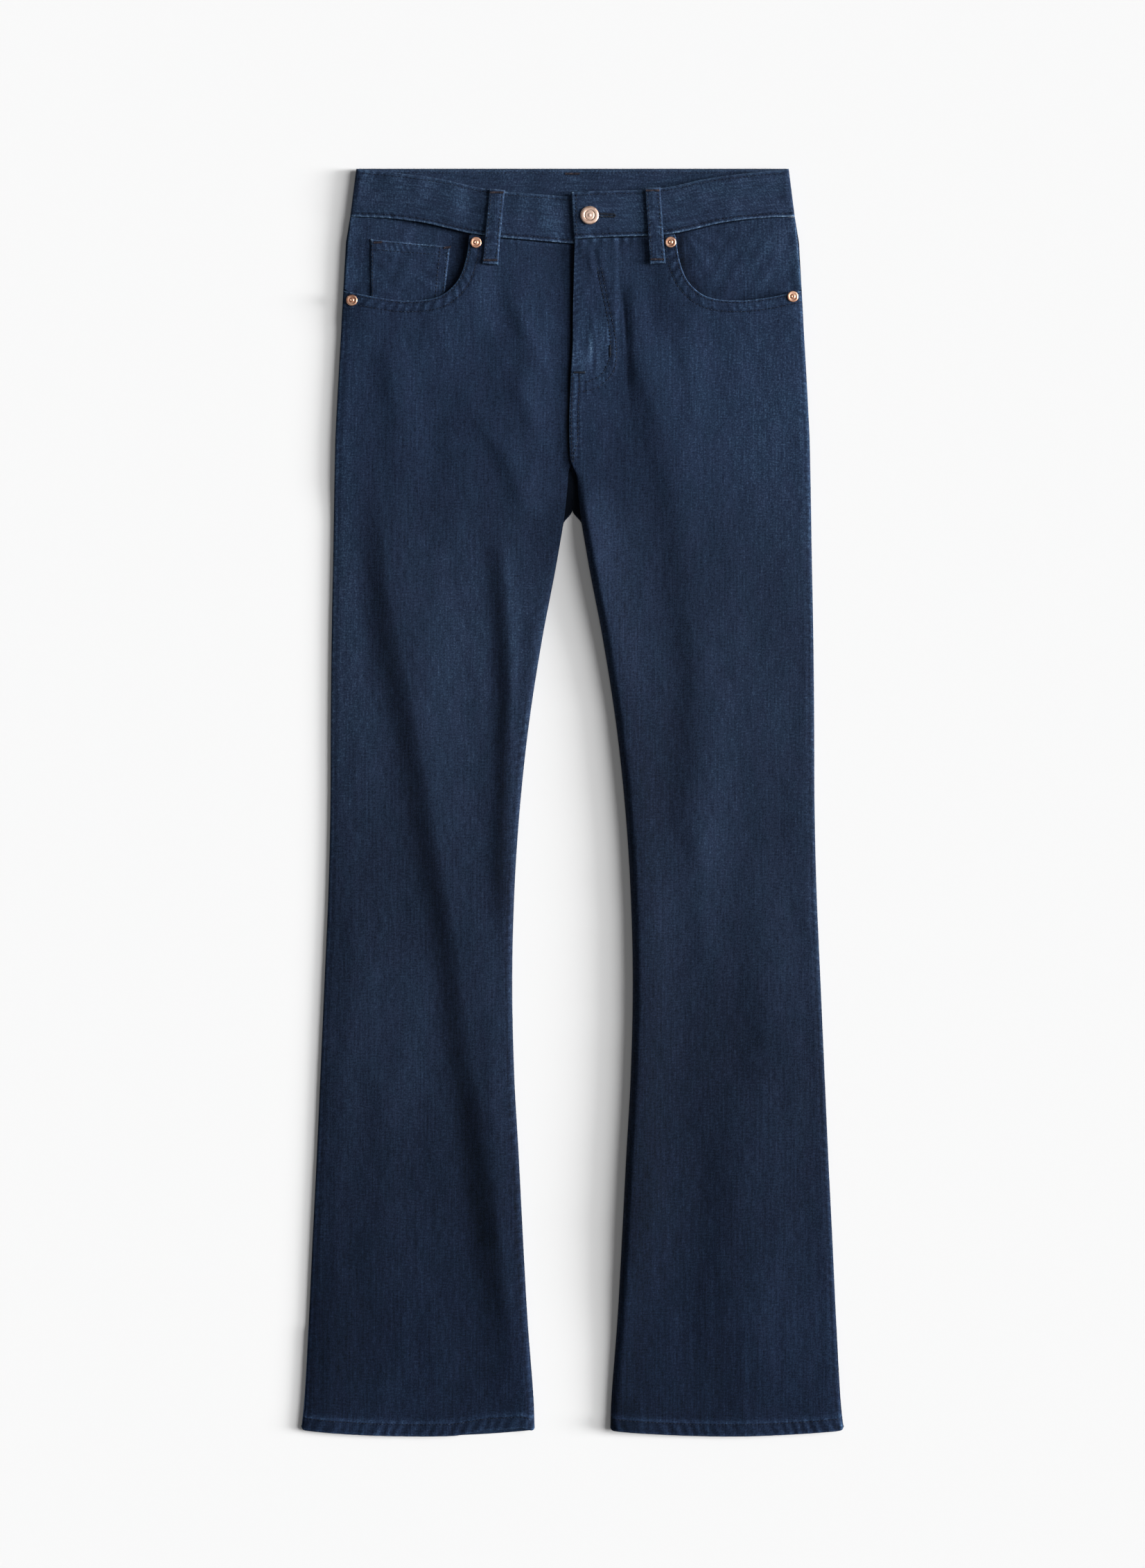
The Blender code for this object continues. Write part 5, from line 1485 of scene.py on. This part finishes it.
bandLines = []
for side in (right, left):
    height = onSide(bandHeight, side)
    start = 3.5 if side == left else 0.5
    across = np.arange(start, 182.0, 1.5)
    top, bottom = bandEdges(side, across)
    for row in (top + waist["stitchInset"], bottom - waist["stitchInset"]):
        shrink = mix(waist["topShare"], 1, (row - top) / (bottom - top))
        points, normals = surfaceLine(np.stack([across, row], -1), side, height)
        points[:, 0] *= shrink
        bandLines.append((points, normals))
fall = np.arange(0.09, 0.92, 0.03)  # down the end of the tab
top, bottom = bandEdges(left, 0 * fall + 3.2)
row = np.stack([0 * fall + 3.2, mix(top, bottom, fall)], -1)
bandLines.append(surfaceLine(row, left, onSide(bandHeight, left)))
for down in (3.6, waist["backBottom"] - 3.0):  # the back of the band, on both of its faces
    x = np.arange(-178.0, 178.5, 1.5)
    flat = np.stack([x, 0 * x + down], -1)
    bandLines.append(surfaceLine(flat, 1, flatAt(waist["underside"] + 2.22), up))
    bandLines.append(surfaceLine(flat, 1, flatAt(waist["underside"] + 0.1), under))
sew("waistband", "row", navyThread, bandLines, 31)

coinRows = []  # as shares of its width and height
for edge in coin["mouthRows"]:
    share = np.linspace(0.02, 0.98, 56)
    coinRows.append((share, 0 * share + edge / coin["tall"]))
outerRow, innerRow = (edge / coin["wide"] for edge in coin["sideRows"])
for inset in (outerRow, innerRow, 1 - outerRow):
    fall = np.linspace(0.05, 0.98, 40)
    coinRows.append((0 * fall + inset, fall))
coinLines = []
for share, fall in coinRows:
    across, down = coinPlace(share, fall)
    z = coinHeight(across, down, share, fall)
    coinLines.append((upright(right * across, down, z + 0.15), straight(len(z))))
sew("coin_pocket", "row", navyThread, coinLines, 33)

for name, loop in loops.items():
    fall = np.linspace(0.05, 0.95, 60)
    middle, down = loopCentre(loop, fall)
    front = "front" in name
    z = loopBase(loop, fall) + 0.12 if front else 0 * fall - 0.05
    lay = straight(len(z), up if front else under)
    lines = []
    for off in (-loopForm["stitchOff"], loopForm["stitchOff"]):
        lines.append((upright(loop["side"] * (middle + off), down, z), lay))
    sew(name, "row", navyThread, lines, 35)

# bar tacks: short dense bars of brown thread
tacks = {
    "front_panel_left": [[(828, 538), (844, 538)], [(880, 499), (880, 514)]],
    "coin_pocket": [[(540, 351), (551, 350)], [(641, 358), (650, 357)]],
}
for name, bars in tacks.items():
    side = left if "left" in name else right
    lines = []
    for bar in bars:
        path = evenPath(mirrored(placed(bar), side), 0.6)
        if name == "coin_pocket":
            across, down = path[:, 0], path[:, 1]
            z = facingHeight(right, across, down) + 1.75
            lines.append((upright(right * across, down, z), straight(len(z))))
        else:
            lines.append(surfaceLine(path, side, onSide(frontHeight, left, 0.1)))
    sew(name, "tack", navyThread if name == "front_panel_left" else brownThread, lines, 43)
for name, loop in loops.items():
    front = "front" in name
    lines = []
    for fall in loopForm["tackPlaces"]:
        off = np.linspace(-loopForm["tackHalf"], loopForm["tackHalf"], 14)
        middle, down = loopCentre(loop, np.array([fall]))
        base = loopBase(loop, np.array([0.0, fall, 1.0]))[1] + 0.75 if front else -0.1
        lay = straight(len(off), up if front else under)
        spots = upright(loop["side"] * (middle + off), down + 0 * off, base + 0 * off)
        lines.append((spots, lay))
    sew(name, "tack", brownThread, lines, 47)
# the centre back loop's tack comes through the band
off = np.linspace(-6, 6, 14)
lines = [(upright(off, 4.5 + 0 * off, 4.0 + 0 * off), straight(len(off)))]
sew("waistband", "tack", brownThread, lines, 49)
# buttonhole: purl stitches round a slit beside the button
hole = {"from": (866, 312), "to": (886, 312.5), "half": 1.1}
ends = mirrored(placed([hole["from"], hole["to"]]), left)
ring = [(ends[0, 0], ends[0, 1] - hole["half"]), (ends[1, 0], ends[1, 1] - hole["half"]),
        (ends[1, 0] + 1.2, ends[1, 1]), (ends[1, 0], ends[1, 1] + hole["half"]),
        (ends[0, 0], ends[0, 1] + hole["half"])]
ringLine = surfaceLine(evenPath(np.array(ring), 0.6), left, onSide(bandHeight, left, 0.1))
sew("waistband", "purl", navyThread, [ringLine], 51)
print("stitching made")


# Button and rivets.

buttonForm = {
    "across": 14.4, "down": 40.6, "turns": 72,
    "rings": [(6.4, 0), (7.2, 0.05), (7.6, 0.3), (7.78, 0.7), (7.78, 1.1), (7.6, 1.5), (7.2, 1.8),
              (6.7, 1.95), (5.3, 1.98), (4.9, 1.94), (4.65, 1.8), (4.4, 1.68), (4.1, 1.66),
              (3.9, 1.72), (3.7, 1.84), (3.4, 1.9), (2.4, 1.88), (1.6, 1.86), (1.35, 1.92),
              (1.15, 2.04), (0.85, 2.14), (0.45, 2.18)], "peak": 2.2,
}
rivetForm = {
    "turns": 48,
    "rings": [(4.0, 0), (4.6, 0.05), (4.75, 0.3), (4.7, 0.55), (4.4, 0.85), (4.0, 0.98),
              (3.5, 0.98), (3.1, 0.88), (2.7, 0.74), (2.3, 0.68), (2.0, 0.7), (1.8, 0.85),
              (1.7, 1.15), (1.5, 1.45), (1.15, 1.55), (0.8, 1.5), (0.55, 1.25), (0.35, 1.1)],
    "peak": 1.05,
    "rivet_right_inner": (right, 81.4, 63.2), "rivet_right_outer": (right, 186.0, 111.7),
    "rivet_left_inner": (left, 82.6, 62.9), "rivet_left_outer": (left, 185.6, 108.8),
}
metals = {}


def turnedPiece(name, rings, peak, turns, place, tilt, finish):
    angles = np.linspace(0, 2 * math.pi, turns, endpoint=False)
    spots = [[(r * math.cos(a), r * math.sin(a), h) for a in angles] for r, h in rings]
    spots = np.array(spots).reshape(-1, 3)
    spots = np.concatenate([spots, [(0, 0, peak), (0, 0, rings[0][1])]])
    faces = []
    for ring in range(len(rings) - 1):
        for k in range(turns):
            n = (k + 1) % turns
            a, b = ring * turns, (ring + 1) * turns
            faces.append((a + k, a + n, b + n, b + k))
    last, top = (len(rings) - 1) * turns, len(rings) * turns
    for k in range(turns):
        n = (k + 1) % turns
        faces.append((last + k, last + n, top))
        faces.append((n, k, top + 1))
    # lean it with the cloth under it
    normal = np.array([-tilt[0], -tilt[1], 1.0])
    normal /= np.linalg.norm(normal)
    axisX = np.cross([0, 1, 0], normal)
    axisX /= np.linalg.norm(axisX)
    turn = np.stack([axisX, np.cross(normal, axisX), normal], 1)
    spots = (spots @ turn.T + np.array(place)) * metre
    mesh = bpy.data.meshes.new(name)
    mesh.from_pydata(spots.tolist(), [], faces)
    mesh.materials.append(finish)
    mesh.shade_smooth()
    return linked(name, mesh)


place = upright(buttonForm["across"], buttonForm["down"],
                bandTop(left, buttonForm["across"]) + 0.55)
metals["button"] = turnedPiece("metal_button", buttonForm["rings"], buttonForm["peak"],
                               buttonForm["turns"], place, (0.02, -0.02), roseGold)
for name in [key for key in rivetForm if key.startswith("rivet_")]:
    side, across, down = rivetForm[name]
    around = frontHeight(side, np.array([across - 3.5, across, across + 3.0]), down)
    z = float(frontHeight(side, np.array([across]), np.array([down]))[0])
    tilt = (side * float(around[2] - around[0]) / 6.5 * 0.6, 0.0)
    z = max(z, float(around.max()) - 0.5) + 0.1
    metals[name] = turnedPiece("metal_" + name, rivetForm["rings"], rivetForm["peak"],
                               rivetForm["turns"], upright(side * across, down, z), tilt, copper)
print("button and rivets made")


# Every piece on the one body.

cuts = {  # flat width and length in metres, and the cut's area
    "front_panel": (0.214, 1.010, 0.177),
    "back_panel": (0.206, 1.006, 0.175),
    "back_yoke": (0.190, 0.068, 0.0086),
    "pocket_facing": (0.114, 0.078, 0.0072),
    "back_pocket": (0.138, 0.145, 0.0178),
}
for node, piece in cloths.items():
    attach(piece, "root")
    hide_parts(node)
    for part in sewn.get(node, []):
        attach(part, "root")
for node, piece in metals.items():
    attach(piece, "root")
    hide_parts(node)

floorName = "floor"
for word in ("right", "left"):
    for kind, (width, length, area) in cuts.items():
        node = f"{kind}_{word}"


# Floor, light and camera.

studio = {
    "floorSize": 30.0, "floorDrop": 0.0005, "floorColour": "#f6f6f6",
    "lens": 90.0, "sensor": 36.0, "clipEnd": 60.0,
    "frameHeight": 1.3233, "centreY": 0.0155, "sheetHeight": 0.004,
    "ambient": 0.08, "boxDistance": 4,
    # two rows of soft boxes on the right: strength, then rise, turn and softness in degrees
    "lowBoxes": (4.35, 15.0, 0.0, 16.0), "highBoxes": (2.76, 36.0, 8.0, 34.0),
    "skyHeight": 9.0, "skySize": 4.0, "skyPower": 67.0,
}
floorMesh = bpy.data.meshes.new(floorName)
half = studio["floorSize"] / 2
corners = [(-half, -half), (half, -half), (half, half), (-half, half)]
floorMesh.from_pydata([(x, y, -studio["floorDrop"]) for x, y in corners], [], [(0, 1, 2, 3)])
floor = linked(floorName, floorMesh)
# Smooth matt studio paper: nothing in it catches the light.
paper, _, paperShader = startMaterial("studio_paper", 0.95, 0.0, 0.1)
paperShader.inputs["Base Color"].default_value = hexColour(studio["floorColour"])
floorMesh.materials.append(paper)

world = bpy.data.worlds.new("studio_world")
world.use_nodes = True
backdrop = world.node_tree.nodes["Background"]
backdrop.inputs["Color"].default_value = (1, 1, 1, 1)
backdrop.inputs["Strength"].default_value = studio["ambient"]
bpy.context.scene.world = world


def aimed(name, light, place):
    lamp = linked(name, light)
    lamp.location = place
    lamp.rotation_euler = Vector(place).to_track_quat("Z", "Y").to_euler()
    lamp.visible_camera = False


# long rows of soft boxes, far enough away to light the floor evenly
for row in ("lowBoxes", "highBoxes"):
    strength, rise, turn, softness = studio[row]
    boxes = bpy.data.lights.new(row, "SUN")
    boxes.energy, boxes.angle = strength, math.radians(softness)
    rise, turn, away = math.radians(rise), math.radians(turn), studio["boxDistance"]
    aimed(row, boxes, (away * math.cos(rise) * math.cos(turn),
                       away * math.cos(rise) * math.sin(turn), away * math.sin(rise)))
# a broad pale panel overhead, for the gleam on the metal
sky = bpy.data.lights.new("overhead_panel", "AREA")
sky.size, sky.energy = studio["skySize"], studio["skyPower"]
aimed("overhead_panel", sky, (0, 0, studio["skyHeight"]))

camera = bpy.data.cameras.new("camera")
camera.lens, camera.sensor_width = studio["lens"], studio["sensor"]
camera.clip_end = studio["clipEnd"]
distance = studio["frameHeight"] * studio["lens"] / studio["sensor"]
eye = linked("camera", camera)
eye.location = (0, studio["centreY"], studio["sheetHeight"] + distance)
bpy.context.scene.camera = eye
bpy.context.scene.view_settings.view_transform = "Standard"  # the photograph's plain contrast
print("studio made")
